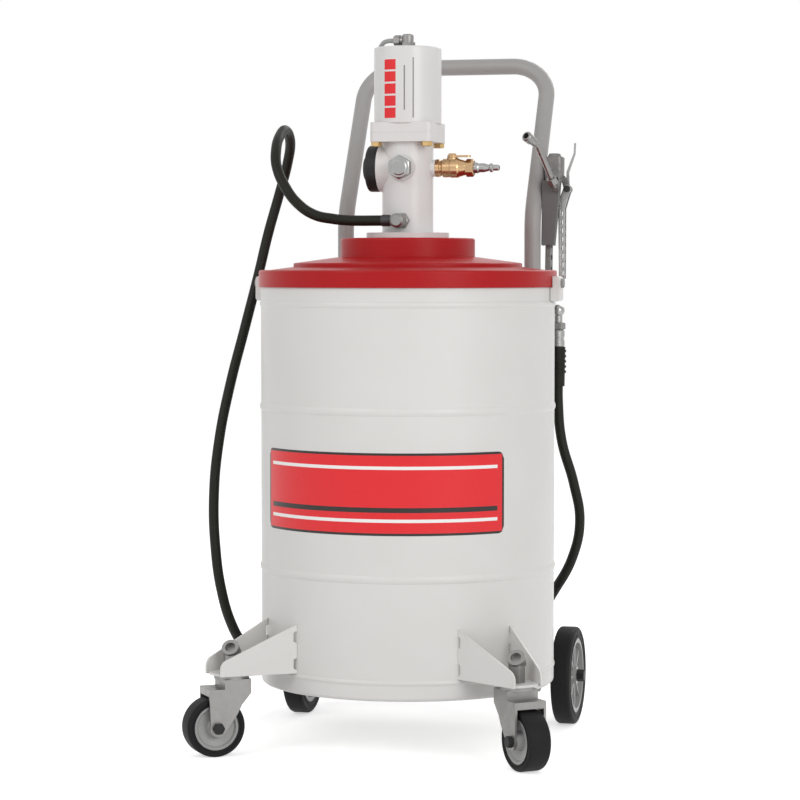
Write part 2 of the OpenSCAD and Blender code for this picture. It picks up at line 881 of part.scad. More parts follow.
// Pressed lever: a pierced channel along the grip, two cheeks on the pin and a kinked upper arm
module gun_lever() {
  strip_h = lever_l + strip_top;
  cheek = concat(
    [[strip_x + 1, 6 - lever_l], [strip_x + 7.5, 10 - lever_l], [strip_x + 9, cheek_foot]],
    arc([0, 0], 6, -50, 120, 10), [[strip_x + 1, strip_top - 6]]
  );
  upper_arm = [[-3, 0], [2, 0], [1, 23], [9.3, 48.5], [9.8, 63], [7.2, 63], [6.8, 49.5], [-2.5, 24.5]];
  color(steel) in_gun() translate([pivot_x, gun_y, pivot_z]) difference() {
    union() {
      rotate([0, -lever_rest, 0]) {
        translate([strip_x, 0, -lever_l]) rotate([90, 0, 90]) linear_extrude(lever_t) difference() {
          translate([0, strip_h / 2]) polygon(rounded(lever_w, strip_h, 5));
          for (i = [0 : lever_holes - 1]) translate([0, 16 + i * 17]) rotate(90) polygon(slot(13, 6));
        }
        for (y = [cheek_in + cheek_t, -cheek_in]) translate([0, y, 0])
          toward_front() linear_extrude(cheek_t) difference() {
            polygon(cheek);
            for (i = [0 : wall_slots - 1]) translate([strip_x + 4.8, 17 - lever_l + i * wall_pitch])
              rotate(90) polygon(slot(8, 3.2));
          }
      }
      translate([0, cheek_in + cheek_t - 2 * fit, 0]) toward_front()
        linear_extrude(cheek_t - 4 * fit) polygon(upper_arm);
    }
    translate([0, lever_w, 0]) toward_front() cylinder(h = 2 * lever_w, d = lever_pin_d + 2 * run);
  }
}

// Pin with a head at both ends
module lever_pin() {
  half = lever_w / 2 + gap;
  head = 2;
  color(black) in_gun() translate([pivot_x, gun_y, pivot_z]) toward_front() {
    translate([0, 0, -half - head]) cylinder(h = 2 * (half + head), d = lever_pin_d);
    for (z = [-half - head, half]) translate([0, 0, z]) cylinder(h = head, d = lever_pin_d + 4);
  }
}

// Nozzle: up out of the boss, then a bend towards the front left, where the coupler sits
pipe_foot = [gun_x + boss_x, gun_y + boss_y, holder_z + boss_z];
pipe_rise = 58;
pipe_lean = 41;
pipe_r = 16;
pipe_turn = 30;
pipe_end = 2;
nozzle_yaw = -22;
pipe_nut_h = 9;
pipe_nut_af = 13;

module pipe_tilt() {
  rotate([0, 0, nozzle_yaw]) rotate([pipe_lean, 0, 0]) children();
}

// The frame at the top of the boss, with Z along the pipe's first stretch
module at_boss() {
  in_gun() translate(pipe_foot) pipe_tilt() translate([0, 0, boss_h]) children();
}

// The frame at the end of the nozzle's bend, with Z along the coupler
module at_nozzle() {
  at_boss() translate([0, -pipe_r * (1 - cos(pipe_turn)), pipe_rise + pipe_r * sin(pipe_turn)])
    rotate([pipe_turn, 0, 0]) children();
}

pipe_line = concat(
  [[0, 0, 0]],
  [for (i = [0 : 6]) let (t = pipe_turn * i / 6) [0, -pipe_r * (1 - cos(t)), pipe_rise + pipe_r * sin(t)]],
  [[0, -pipe_r * (1 - cos(pipe_turn)) - pipe_end * sin(pipe_turn),
    pipe_rise + pipe_r * sin(pipe_turn) + pipe_end * cos(pipe_turn)]]
);

module nozzle_pipe() {
  color(zinc) at_boss() swept(pipe_line, pipe_d, 16);
}

module nozzle_nut() {
  color(zinc) at_boss() difference() {
    turned_hexagon(pipe_nut_af, pipe_nut_h);
    translate([0, 0, -cut]) cylinder(h = pipe_nut_h + 2 * cut, d = pipe_d + 2 * fit);
  }
}

coupler_l = 23;
coupler_bore_l = 12;

module grease_coupler() {
  r = coupler_d / 2;
  color(zinc) at_nozzle() translate([0, 0, pipe_end]) difference() {
    rotate_extrude() polygon([
      [0, 0], [pipe_d / 2 + 1, 0], [r - 1.5, 4], [r - 1.5, 10], [r, 11],
      [r, coupler_l - 2], [r - 1.5, coupler_l],
      [0, coupler_l]
    ]);
    translate([0, 0, coupler_l - coupler_bore_l]) cylinder(h = coupler_bore_l + cut, d = coupler_bore);
  }
}

// Z swivel under the grip: a leaning elbow in line with the gun and an upright one beside it
module gun_swivel() {
  side = swivel_x - grip_x;
  color(steel) {
    in_gun() translate([grip_x, gun_y, swivel_z - 9]) turned_hexagon(14, 9 - fit);
    placed() translate([grip_x, swivel_y, ball_z]) {
      sphere(d = 15);
      toward_x() cylinder(h = side, d = 10);
      translate([side, 0, 0]) sphere(d = 17);
      translate([side, 0, drop_z - ball_z]) cylinder(h = ball_z - drop_z, d = 11);
    }
  }
}

swivel_nut_h = 9;

module swivel_nut() {
  color(zinc) placed() translate([swivel_x, swivel_y, drop_z - swivel_nut_h])
    turned_hexagon(17, swivel_nut_h);
}

ferrule_l = 24;
guard_top_z = drop_z - swivel_nut_h - ferrule_l;
guard_bore_end = guard_top_z - 10;

module gun_ferrule() {
  color(steel) placed() translate([swivel_x, swivel_y, guard_top_z]) rotate_extrude() polygon([
    [0, 0], [8, 0], [8.6, 2], [8.6, 9], [7.8, 10], [7.8, 13], [8.6, 14],
    [8.6, 21], [7, ferrule_l], [0, ferrule_l]
  ]);
}

// Ribbed sleeve that keeps the hose from kinking
module hose_guard() {
  ribs = 5;
  l = guard_top_z - guard_z;
  color(black) placed() translate([swivel_x, swivel_y, guard_z]) difference() {
    union() {
      cylinder(h = l, d1 = hose_d + 4, d2 = hose_d + 6);
      for (i = [1 : ribs]) translate([0, 0, l - i * 7]) cylinder(h = 3, d = hose_d + 8);
    }
    translate([0, 0, -cut]) cylinder(h = guard_bore_end - guard_z + cut, d = hose_d + 2 * fit);
  }
}

// Grease hose: its route, from the pump's ferrule to the gun's guard, in the drum's frame
hose_start_x = -21.5;
hose_route = [
  [hose_start_x, outlet_y, outlet_z], [hose_start_x - 14, outlet_y, outlet_z],
  [hose_start_x - 28, outlet_y, outlet_z],
  [-66, -52, 671.5], [-86, -53, 673.5], [-110, -57, 679], [-131, -62, 694],
  [-147, -62, 715], [-160, -55, 740], [-166, -38, 764],
  [-169, -12, 782], [-170, 18, 791], [-172, 46, 778], [-182, 67, 750], [-196, 74, 708], [-209, 68, 658],
  [-220, 56, 600], [-234, 40, 530], [-248, 20, 456], [-258, 3, 384], [-261, -11, 312], [-256, -20, 240],
  [-248, -19, 184], [-240, -3, 140], [-231, 25, 106], [-223, 62, 82], [-220, 104, 65], [-218, 150, 53],
  [-212, 196, 46], [-192, 236, 41], [-154, 262, 38], [-98, 276, 38],
  [-38, 280, 42], [20, 274, 55], [72, 259, 79],
  [114, 241, 116], [150, 225, 167], [179, 212, 218], [190, 204, 268], [183, 197, 318], [167, 191, 378],
  [swivel_x, swivel_y, guard_z - 20], [swivel_x, swivel_y, guard_z + 12],
  [swivel_x, swivel_y, guard_bore_end]
];
hose_sides = 10;

function spline(p, i, t) = let (
  n = len(p) - 1,
  a = p[max(i - 1, 0)],
  b = p[i],
  c = p[min(i + 1, n)],
  d = p[min(i + 2, n)]
) 0.5 * (2 * b + (c - a) * t + (2 * a - 5 * b + 4 * c - d) * t * t + (3 * b - a - 3 * c + d) * t * t * t);

function unit(v) = v / norm(v);

// Directions across a path at each of its points, carried along without twist
function carried(dirs, i, across) = i == len(dirs) ? [] :
  let (now = unit(across - (across * dirs[i]) * dirs[i])) concat([now], carried(dirs, i + 1, now));

// Round bar along a list of points, or a tube where it has a wall
module swept(path, d, sides, wall = 0) {
  n = len(path);
  dirs = [for (i = [0 : n - 1]) unit(path[min(i + 1, n - 1)] - path[max(i - 1, 0)])];
  across = carried(dirs, 0, abs(dirs[0][2]) < 0.9 ? [0, 0, 1] : [0, 1, 0]);
  radii = wall > 0 ? [d / 2, d / 2 - wall] : [d / 2];
  points = [for (r = radii) for (i = [0 : n - 1]) let (side = cross(dirs[i], across[i]))
    for (k = [0 : sides - 1])
    path[i] + r * (cos(k * 360 / sides) * across[i] + sin(k * 360 / sides) * side)];
  inner = n * sides;
  last = (n - 1) * sides;
  walls = [for (i = [0 : n - 2]) for (k = [0 : sides - 1]) let (m = (k + 1) % sides)
    [i * sides + k, (i + 1) * sides + k, (i + 1) * sides + m, i * sides + m]];
  bore = [for (f = walls) reversed([for (v = f) v + inner])];
  rims = [for (k = [0 : sides - 1]) let (m = (k + 1) % sides)
    each [[k, m, inner + m, inner + k], [last + m, last + k, inner + last + k, inner + last + m]]];
  foot = [for (k = [0 : sides - 1]) k];
  head = [for (k = [sides - 1 : -1 : 0]) last + k];
  polyhedron(points, wall > 0 ? concat(walls, bore, rims) : concat(walls, [foot, head]));
}

hose_steps = 2;

module grease_hose() {
  last = len(hose_route) - 1;
  inner = [for (i = [0 : last - 1]) for (s = [0 : hose_steps - 1]) if (s == 0 || i % 2 == 0)
    spline(hose_route, i, s / hose_steps)];
  color(black) placed() swept(concat(inner, [hose_route[last]]), hose_d, hose_sides);
}

elbow_out_x = -9.5;

module hose_ferrule() {
  color(black) placed() translate([hose_start_x, outlet_y, outlet_z]) toward_x() rotate_extrude() polygon([
    [0, 0], [hose_d / 2 + 0.3, 0], [hose_d / 2 + 0.8, 1.5],
    [hose_d / 2 + 0.8, 10], [hose_d / 2, 12], [0, 12]
  ]);
}

// Outlet elbow on the column's front, with a side arm for the hose
module outlet_elbow() {
  stub = 8;
  front = -column_d / 2;
  color(steel) placed() translate([0, 0, outlet_z]) {
    translate([0, front + stub, 0]) toward_front() cylinder(h = stub + 2, d = 11);
    translate([0, front - 0.5, 0]) toward_front() turned_hexagon(19, 9);
    translate([0, front - 9, 0]) toward_front() cylinder(h = 19, d = 18);
    translate([0, front - 28, 0]) toward_front() cylinder(h = 2.5, d1 = 18, d2 = 13);
    translate([elbow_out_x, outlet_y, 0]) toward_x() cylinder(h = -elbow_out_x, d = 13);
  }
}

// Pump head

socket_l = 30;
muffler_x = 36;
muffler_boss_d = 60;
inlet_boss_d = 22;
inlet_x = 38;
plug_af = 27;
plug_h = 12;
plug_boss_d = 34;
plug_boss_y = 37;
head_corner = 7;
bolt_d = 8;
bolt_af = 13;
bolt_head_h = 6;

module head_square(h) {
  linear_extrude(h) polygon(rounded(head_w, head_w, head_corner));
}

module head_bolt_places() {
  for (x = [-1, 1], y = [-1, 1]) translate([x * head_bolt_pitch / 2, y * head_bolt_pitch / 2, 0])
    children();
}

// Casting: base flange, column, air port bosses and the square flange on top
module pump_body() {
  boss_in = 12;
  color(white) placed() difference() {
    union() {
      translate([0, 0, hub_z]) cylinder(h = base_flange_t, d = base_flange_d);
      translate([0, 0, column_z - cut]) cylinder(h = column_h + 2 * cut, d = column_d);
      translate([-boss_in, 0, port_z]) rotate([0, -90, 0])
        cylinder(h = muffler_x - boss_in, d = muffler_boss_d);
      translate([boss_in, 0, port_z]) toward_x() cylinder(h = inlet_x - boss_in, d = inlet_boss_d);
      translate([0, -boss_in, port_z]) toward_front() cylinder(h = plug_boss_y - boss_in, d = plug_boss_d);
      translate([0, 0, head_z]) head_square(head_t);
    }
    translate([0, 0, hub_z - cut]) cylinder(h = socket_l + cut, d = pump_tube_d + 2 * fit);
    translate([0, 0, hub_z]) cylinder(h = cylinder_z - hub_z + cut, d = rod_d + 2 * run);
    translate([0, -column_d / 2 + 8, outlet_z]) toward_front() cylinder(h = 20, d = 11 + 2 * fit);
    translate([0, 0, outlet_z]) toward_front() cylinder(h = column_d / 2, d = 8);
    translate([inlet_x + cut, 0, port_z]) rotate([0, -90, 0])
      cylinder(h = 12 + cut, d = inlet_thread_d + 2 * fit);
    translate([0, -plug_boss_y - cut, port_z]) toward_back()
      cylinder(h = 12 + cut, d = plug_thread_d + 2 * fit);
    translate([-muffler_x - cut, 0, port_z]) toward_x()
      cylinder(h = 9 + cut, d = muffler_spigot_d + 2 * fit);
    head_bolt_places() translate([0, 0, head_z - cut]) cylinder(h = head_t + 2 * cut, d = bolt_d + 2 * fit);
  }
}

inlet_thread_d = 13;
plug_thread_d = 20;
muffler_spigot_d = 24;
roof_t = 6;
top_port_d = 10;

module air_cylinder() {
  edge = 2;
  r = cylinder_d / 2;
  color(white) placed() difference() {
    union() {
      translate([0, 0, cylinder_z]) head_square(cylinder_flange_t);
      rotate_extrude($fn = 96) polygon(concat(
        [[0, can_z - cut], [r, can_z - cut]], arc([r - edge, top_z - edge], edge, 0, 90), [[0, top_z]]
      ));
    }
    translate([0, 0, cylinder_z - cut])
      cylinder(h = top_z - roof_t - cylinder_z + cut, d = cylinder_bore, $fn = 96);
    translate([0, 0, top_z - roof_t - cut]) cylinder(h = roof_t + 2 * cut, d = top_port_d + 2 * fit);
    head_bolt_places() translate([0, 0, cylinder_z - cut])
      cylinder(h = cylinder_flange_t - 2 + cut, d = bolt_d + 2 * fit);
    translate([elbow_x, head_w / 2 + cut, elbow_z]) toward_front() cylinder(h = 4 + cut, d = 8 + 2 * fit);
  }
}

module head_bolts() {
  color(yellow_zinc) placed() head_bolt_places() {
    translate([0, 0, head_z]) cylinder(h = head_t + cylinder_flange_t - 3, d = bolt_d);
    translate([0, 0, head_z]) mirror([0, 0, 1]) turned_hexagon(bolt_af, bolt_head_h);
  }
}

// Hexagon plug with a domed face
module hex_plug() {
  color(white) placed() translate([0, -plug_boss_y, port_z]) {
    toward_back() cylinder(h = 10, d = plug_thread_d);
    toward_front() rotate([0, 0, 30]) turned_hexagon(plug_af, plug_h);
    translate([0, 1 - plug_h, 0]) toward_front() cylinder(h = 2, d1 = plug_af * 0.9, d2 = plug_af * 0.66);
  }
}

// Exhaust cap: a wide disc, a raised centre and a spigot
module exhaust_cap() {
  r = muffler_boss_d / 2;
  color(black) placed() translate([-muffler_x, 0, port_z]) {
    rotate([0, -90, 0]) rotate_extrude() polygon(concat(
      [[0, 0], [r, 0]], arc([r - 3, 12], 3, 0, 90, 4),
      [[16, 15]], arc([13.5, 18], 2.5, 0, 90, 4), [[0, 20.5]]
    ));
    toward_x() cylinder(h = 8, d = muffler_spigot_d);
  }
}

// Air inlet

valve_end_x = inlet_x + 50;
valve_ball_x = inlet_x + 21;
valve_stem_d = 8;
stem_collar = 1.5;
valve_lever_t = 2.5;
valve_top_z = port_z + valve_d / 2;

// Turned brass body with a hexagon end, a stem collar and a seat for the ball
module air_valve() {
  r = valve_d / 2;
  bore_d = 7;
  color(brass) placed() difference() {
    union() {
      translate([inlet_x - 10, 0, port_z]) toward_x() cylinder(h = 12, d = inlet_thread_d);
      translate([inlet_x, 0, port_z]) toward_x() rotate_extrude() polygon([
        [0, 0], [r - 0.6, 0], [r - 0.6, 5], [r - 1.8, 6], [r - 1.8, 8],
        [r, 10], [r, 19], [r + 0.6, 20], [r + 0.6, 29],
        [r - 0.6, 31], [9.5, 38], [9.5, 41], [0, 41]
      ]);
      translate([inlet_x + 40, 0, port_z]) toward_x() turned_hexagon(20, 10);
      translate([valve_ball_x, 0, port_z]) cylinder(h = r + stem_collar, d = valve_stem_d + 6);
    }
    translate([inlet_x - 11, 0, port_z]) toward_x() cylinder(h = 62, d = bore_d);
    translate([valve_ball_x, 0, port_z]) sphere(d = ball_d + 2 * run);
    translate([valve_ball_x, 0, port_z]) cylinder(h = r + 10, d = valve_stem_d + 2 * run);
    translate([valve_end_x + cut, 0, port_z]) rotate([0, -90, 0])
      cylinder(h = 9 + cut, d = nipple_thread_d + 2 * fit);
  }
}

nipple_thread_d = 12;

module valve_ball() {
  color(steel) placed() translate([valve_ball_x, 0, port_z]) difference() {
    sphere(d = ball_d);
    translate([-ball_d, 0, 0]) toward_x() cylinder(h = 2 * ball_d, d = 7);
    translate([0, 0, ball_d / 2 - 2.5]) cylinder(h = 10, d = valve_stem_d + 2);
  }
}

// Stem with a flat lever that lies along the pipe when the valve is open
module valve_lever() {
  top = valve_d / 2 + stem_collar + gap;
  color(zinc) placed() translate([valve_ball_x, 0, port_z]) {
    translate([0, 0, ball_d / 2 - 2.5]) cylinder(h = top - ball_d / 2 + 3.5, d = valve_stem_d);
    translate([0, 0, top]) linear_extrude(valve_lever_t) polygon(concat(
      arc([0, 0], 6.5, 40, 320, 12), [[9, -4]], arc([20, 0], 4.5, -90, 90, 8), [[9, 4]]
    ));
    translate([0, 0, top + valve_lever_t]) turned_hexagon(9, 2.5);
  }
}

module air_nipple() {
  r = nipple_d / 2;
  l = nipple_l;
  color(steel) placed() translate([valve_end_x, 0, port_z]) toward_x() difference() {
    union() {
      translate([0, 0, -8]) cylinder(h = 9, d = nipple_thread_d);
      rotate_extrude() polygon([
        [0, 0], [7, 0], [7, 5], [r, 7], [r, 13], [r - 1.6, 19],
        [r - 1.6, 20], [r, 21.5], [r, 24], [r - 2, 25.5],
        [r - 2, l - 1], [r - 2.8, l], [0, l]
      ]);
    }
    translate([0, 0, -9]) cylinder(h = l + 20, d = 5);
  }
}

// Signal tube from the cylinder's roof to its flange

elbow_x = -22;
elbow_z = cylinder_z + cylinder_flange_t / 2;
elbow_y = head_w / 2 + 15;
signal_d = 6;
arm_yaw = 168;
arm_z = top_z + 10;
arm_l = 19;

module tube_elbows() {
  color(zinc) placed() {
    translate([0, 0, top_z - roof_t + 1]) cylinder(h = roof_t, d = top_port_d);
    translate([0, 0, top_z]) hexagon(17, 7);
    translate([0, 0, top_z + 6]) cylinder(h = 10, d = 15);
    translate([0, 0, top_z + 16]) cylinder(h = 1.5, d1 = 15, d2 = 12);
    translate([0, 0, arm_z]) rotate([0, 0, arm_yaw]) toward_x() {
      cylinder(h = 11, d = 10);
      translate([0, 0, 10]) turned_hexagon(12, arm_l - 10);
    }
    translate([elbow_x, head_w / 2 - 3, elbow_z]) toward_back()
      cylinder(h = elbow_y - head_w / 2 + 3, d = 8);
    translate([elbow_x, head_w / 2, elbow_z]) toward_back() turned_hexagon(11, 8);
    translate([elbow_x, elbow_y, elbow_z]) sphere(d = 11);
    translate([elbow_x, elbow_y, elbow_z]) cylinder(h = 8, d = 9);
    translate([elbow_x, elbow_y, elbow_z + 7]) turned_hexagon(11, 8);
  }
}

module signal_tube() {
  reach = cylinder_d / 2;
  out = [cos(arm_yaw), sin(arm_yaw), 0];
  start = arm_l * out + [0, 0, arm_z];
  end = [elbow_x, elbow_y, elbow_z + 15];
  route = [
    start, start + 4 * out, start + 8 * out,
    [-reach * 0.88, reach * 0.4, top_z + 7], [-reach * 1.05, reach * 0.66, top_z - 5],
    [-reach * 1.02, reach * 0.87, top_z - 26], [-reach * 0.86, reach * 1.1, top_z - 52],
    end + [-3, 0, 26], end + [0, 0, 12], end + [0, 0, 6], end
  ];
  last = len(route) - 1;
  inner = [for (i = [0 : last - 1]) for (s = [0 : 1]) spline(route, i, s / 2)];
  color(zinc) placed() swept(concat(inner, [route[last]]), signal_d, 10);
}

// Pump tube and what moves inside the pump

tube_top_z = hub_z + socket_l;
tube_foot_z = drum_floor_z + 20;
foot_gap = 6;
foot_d = pump_tube_d + 8;
foot_h = 36;
pump_bore = pump_tube_d - 2 * pump_tube_wall;

module pump_tube() {
  color(steel) placed() translate([0, 0, tube_foot_z]) difference() {
    cylinder(h = tube_top_z - tube_foot_z, d = pump_tube_d);
    translate([0, 0, -cut]) cylinder(h = tube_top_z - tube_foot_z + 2 * cut, d = pump_bore);
    translate([0, 0, outlet_z - tube_foot_z]) toward_front() cylinder(h = pump_tube_d, d = 8);
  }
}

// Ring nut that draws the pump down on the lid
module clamp_nut() {
  h = 10;
  af = pump_tube_d + 20;
  color(zinc) placed() translate([0, 0, hub_z - lid_t - h]) difference() {
    hexagon(af, h);
    translate([0, 0, -cut]) cylinder(h = h + 2 * cut, d = pump_tube_d + 2 * fit);
  }
}

piston_t = 16;
piston_z = cylinder_z + 3;
groove_h = 5;
groove_deep = 4;
plunger_h = 24;
plunger_z = tube_foot_z + 30;

// Air piston, rod and plunger, turned and screwed together as one
module air_piston() {
  r = cylinder_bore / 2 - 2 * fit;
  color(steel) placed() {
    translate([0, 0, piston_z]) difference() {
      cylinder(h = piston_t, r = r);
      translate([0, 0, (piston_t - groove_h) / 2]) difference() {
        cylinder(h = groove_h, r = r + cut);
        translate([0, 0, -cut]) cylinder(h = groove_h + 2 * cut, r = r - groove_deep);
      }
    }
    translate([0, 0, plunger_z]) cylinder(h = piston_z - plunger_z + cut, d = rod_d);
    translate([0, 0, plunger_z]) cylinder(h = plunger_h, d = pump_bore - 2 * fit);
  }
}

module piston_seal() {
  r = cylinder_bore / 2 - 2 * fit - groove_deep;
  color(black) placed() translate([0, 0, piston_z + (piston_t - groove_h) / 2 + fit / 2]) difference() {
    cylinder(h = groove_h - fit, d = cylinder_bore - 2 * run);
    translate([0, 0, -cut]) cylinder(h = groove_h + 2 * cut, r = r + fit);
  }
}

// Foot with a strainer skirt that stands just off the drum's floor
module foot_valve() {
  foot_z = drum_floor_z + foot_gap;
  slots = 6;
  wall = 4;
  color(steel) placed() translate([0, 0, foot_z]) difference() {
    cylinder(h = foot_h, d = foot_d);
    translate([0, 0, tube_foot_z - foot_z]) cylinder(h = foot_h, d = pump_tube_d + 2 * fit);
    translate([0, 0, -cut]) cylinder(h = 9 + cut, d = foot_d - 2 * wall);
    cylinder(h = foot_h, d = 16);
    for (i = [0 : slots - 1]) rotate([0, 0, i * 360 / slots]) translate([foot_d / 2 - 2 * wall, -4, -cut])
      cube([4 * wall, 8, 7 + cut]);
  }
}

follower_z = drum_floor_z + foot_gap + foot_h + 2;
follower_t = 4;
cone_w = 30;
cone_h = 6;
wiper_h = 16;
wiper_t = 3;
collar_t = 5;
collar_h = 20;

// Follower: a dished plate with a guide collar and a turned-up rim that wipes the drum
module follower_plate() {
  r = drum_r - drum_wall - gap;
  hole_r = pump_tube_d / 2 + gap;
  color(black) placed() translate([0, 0, follower_z]) rotate_extrude($fn = 128) polygon([
    [hole_r, 0], [hole_r + collar_t, 0], [hole_r + cone_w, cone_h],
    [r, cone_h], [r, cone_h + wiper_h], [r - wiper_t, cone_h + wiper_h],
    [r - wiper_t, cone_h + follower_t], [hole_r + cone_w, cone_h + follower_t],
    [hole_r + collar_t, follower_t],
    [hole_r + collar_t, collar_h], [hole_r, collar_h]
  ]);
}

drum_body();
lid();
lid_gasket();
lid_clamps();
clamp_screws();
bracket_left();
bracket_right();
stem_posts();
fork_left();
fork_right();
king_pin_left();
king_pin_right();
caster_axle_left();
caster_axle_right();
caster_hub_left();
caster_hub_right();
caster_tyre_left();
caster_tyre_right();
rear_axle();
axle_brackets();
axle_spacers();
axle_nuts();
rear_hub_left();
rear_hub_right();
rear_tyre_left();
rear_tyre_right();
handle_frame();
handle_standoffs();
gun_holder();
gun_body();
gun_lever();
lever_pin();
nozzle_pipe();
nozzle_nut();
grease_coupler();
gun_swivel();
swivel_nut();
gun_ferrule();
hose_guard();
grease_hose();
hose_ferrule();
outlet_elbow();
pump_body();
air_cylinder();
head_bolts();
hex_plug();
exhaust_cap();
air_valve();
valve_ball();
valve_lever();
air_nipple();
tube_elbows();
signal_tube();
pump_tube();
clamp_nut();
air_piston();
piston_seal();
foot_valve();
follower_plate();
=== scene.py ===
# %% [markdown]
# # A grease pump on wheels
# The imported model is the frame of this lesson: every solid is already at its place, in metres.
# Blender adds what the solids can't give, which is smooth bent tubes, a hose that hangs, tyres with
# moulded side walls, a printed label and the finish of each metal, paint and rubber.
# The frame is loaded first. The finished scene has to stay inside it.

# %% Load the frame
import math

import bmesh
import bpy
from mathutils import Matrix, Vector


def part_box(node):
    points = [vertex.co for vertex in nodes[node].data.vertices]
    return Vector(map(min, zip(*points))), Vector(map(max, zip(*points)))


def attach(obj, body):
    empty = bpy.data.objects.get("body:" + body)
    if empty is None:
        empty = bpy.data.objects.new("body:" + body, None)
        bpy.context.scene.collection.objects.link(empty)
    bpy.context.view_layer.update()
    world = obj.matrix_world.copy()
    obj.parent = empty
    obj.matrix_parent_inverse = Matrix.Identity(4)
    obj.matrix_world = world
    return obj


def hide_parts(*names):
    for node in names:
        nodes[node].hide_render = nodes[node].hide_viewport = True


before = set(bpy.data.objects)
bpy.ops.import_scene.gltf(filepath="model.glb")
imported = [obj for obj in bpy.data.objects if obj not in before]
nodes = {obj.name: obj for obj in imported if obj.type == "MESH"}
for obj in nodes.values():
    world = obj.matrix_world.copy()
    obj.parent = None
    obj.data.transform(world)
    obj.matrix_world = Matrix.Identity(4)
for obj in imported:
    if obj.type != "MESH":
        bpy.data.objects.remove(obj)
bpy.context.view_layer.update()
MM = 0.001
AXIS_Y = -33.184 * MM


# %% [markdown]
# ## Camera
# The pump was photographed from a little to the right of its front, at about the height of its lid, with
# a long lens. A long lens keeps upright edges nearly parallel, so the camera only tips down slightly.
# It is placed by its distance from the drum's axis, because that is how it was worked out.

# %% Place the camera
CAMERA_TURN = math.radians(13.987)
CAMERA_AIM = math.radians(14.155)
CAMERA_TIP = math.radians(2.841)
CAMERA_AWAY = 3.4523
CAMERA_HEIGHT = 0.6107
LENS_MM = 119.81
SENSOR_MM = 36

bpy.ops.object.select_all(action="DESELECT")
bpy.ops.object.camera_add(
    location=(
        CAMERA_AWAY * math.sin(CAMERA_TURN),
        AXIS_Y - CAMERA_AWAY * math.cos(CAMERA_TURN),
        CAMERA_HEIGHT,
    ),
    rotation=(math.radians(90) - CAMERA_TIP, 0, CAMERA_AIM),
)
camera = bpy.context.object
camera.name = "photo_camera"
camera.data.lens = LENS_MM
camera.data.sensor_width = SENSOR_MM
bpy.context.scene.camera = camera
print("camera at", tuple(round(v, 3) for v in camera.location))


# %% [markdown]
# ## Grease hose
# The hose is a stiff rubber tube that leaves the pump's elbow, rises in a loop, hangs down the left side,
# passes behind the drum and climbs to the gun. It could be swept as a mesh, but a curve is better: its
# points can be moved by hand afterwards, and Blender rounds it. The points follow the solid's own route.
# The tube's radius is set on the knots, over a depth of one, because Blender adds it to the curve's box.

# %% Draw the hose
HOSE_D = 13.5 * MM
HOSE_ROUNDING = 6
KNOT_STEPS = 10
HOSE_ROUTE = [
    (-21.5, -52, 671), (-35.5, -52, 671), (-49.5, -52, 671), (-66, -52, 671.5), (-86, -53, 673.5),
    (-110, -57, 679), (-131, -62, 694), (-147, -62, 715), (-160, -55, 740), (-166, -38, 764),
    (-169, -12, 782), (-170, 18, 791), (-172, 46, 778), (-182, 67, 750), (-196, 74, 708),
    (-209, 68, 658), (-220, 56, 600), (-234, 40, 530), (-248, 20, 456), (-258, 3, 384),
    (-261, -11, 312), (-256, -20, 240), (-248, -19, 184), (-240, -3, 140), (-231, 25, 106),
    (-223, 62, 82), (-220, 104, 65), (-218, 150, 53), (-212, 196, 46), (-192, 236, 41),
    (-154, 262, 38), (-98, 276, 38), (-38, 280, 42), (20, 274, 55), (72, 259, 79),
    (114, 241, 116), (150, 225, 167), (179, 212, 218), (190, 204, 268), (183, 197, 318),
    (167, 191, 378), (162, 191.02, 431), (162, 191.02, 463), (162, 191.02, 494.03),
]


def in_frame(point):
    """A place given from the drum's axis, in millimetres, as a place in the shared frame."""
    x, y, z = point
    return Vector((x * MM, y * MM + AXIS_Y, z * MM))


def drawn_tube(name, route, diameter, rounding):
    """A round tube on a curve that runs smoothly through the points of a route."""
    curve = bpy.data.curves.new(name, "CURVE")
    curve.dimensions = "3D"
    curve.resolution_u = KNOT_STEPS
    curve.bevel_depth = 1.0
    curve.bevel_resolution = rounding
    curve.use_fill_caps = True
    line = curve.splines.new("BEZIER")
    line.bezier_points.add(len(route) - 1)
    for knot, point in zip(line.bezier_points, route):
        knot.co = in_frame(point)
        knot.radius = diameter / 2
        knot.handle_left_type = "AUTO"
        knot.handle_right_type = "AUTO"
    tube = bpy.data.objects.new(name, curve)
    bpy.context.scene.collection.objects.link(tube)
    return tube


grease_line = drawn_tube("grease_line", HOSE_ROUTE, HOSE_D, HOSE_ROUNDING)
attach(grease_line, "chassis")
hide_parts("grease_hose")


# %% [markdown]
# ## Selecting by place
# An operator acts on all that is selected, and the loaded solids come in selected. So each piece starts
# with nothing selected, and its faces, edges or corners are then picked by where they are.

# %% Small helpers for modelling
SMOOTH_ANGLE = math.radians(35)
SAME_PLACE = 0.01 * MM


def clear_selection():
    """Leaves edit mode and selects nothing."""
    if bpy.context.object and bpy.context.object.mode != "OBJECT":
        bpy.ops.object.mode_set(mode="OBJECT")
    bpy.ops.object.select_all(action="DESELECT")


def begin(name):
    """Names the new primitive, moves its place into its mesh and opens it for editing."""
    piece = bpy.context.object
    piece.name = name
    piece.data.name = name
    bpy.ops.object.transform_apply(location=True, rotation=True, scale=True)
    bpy.ops.object.mode_set(mode="EDIT")
    return piece


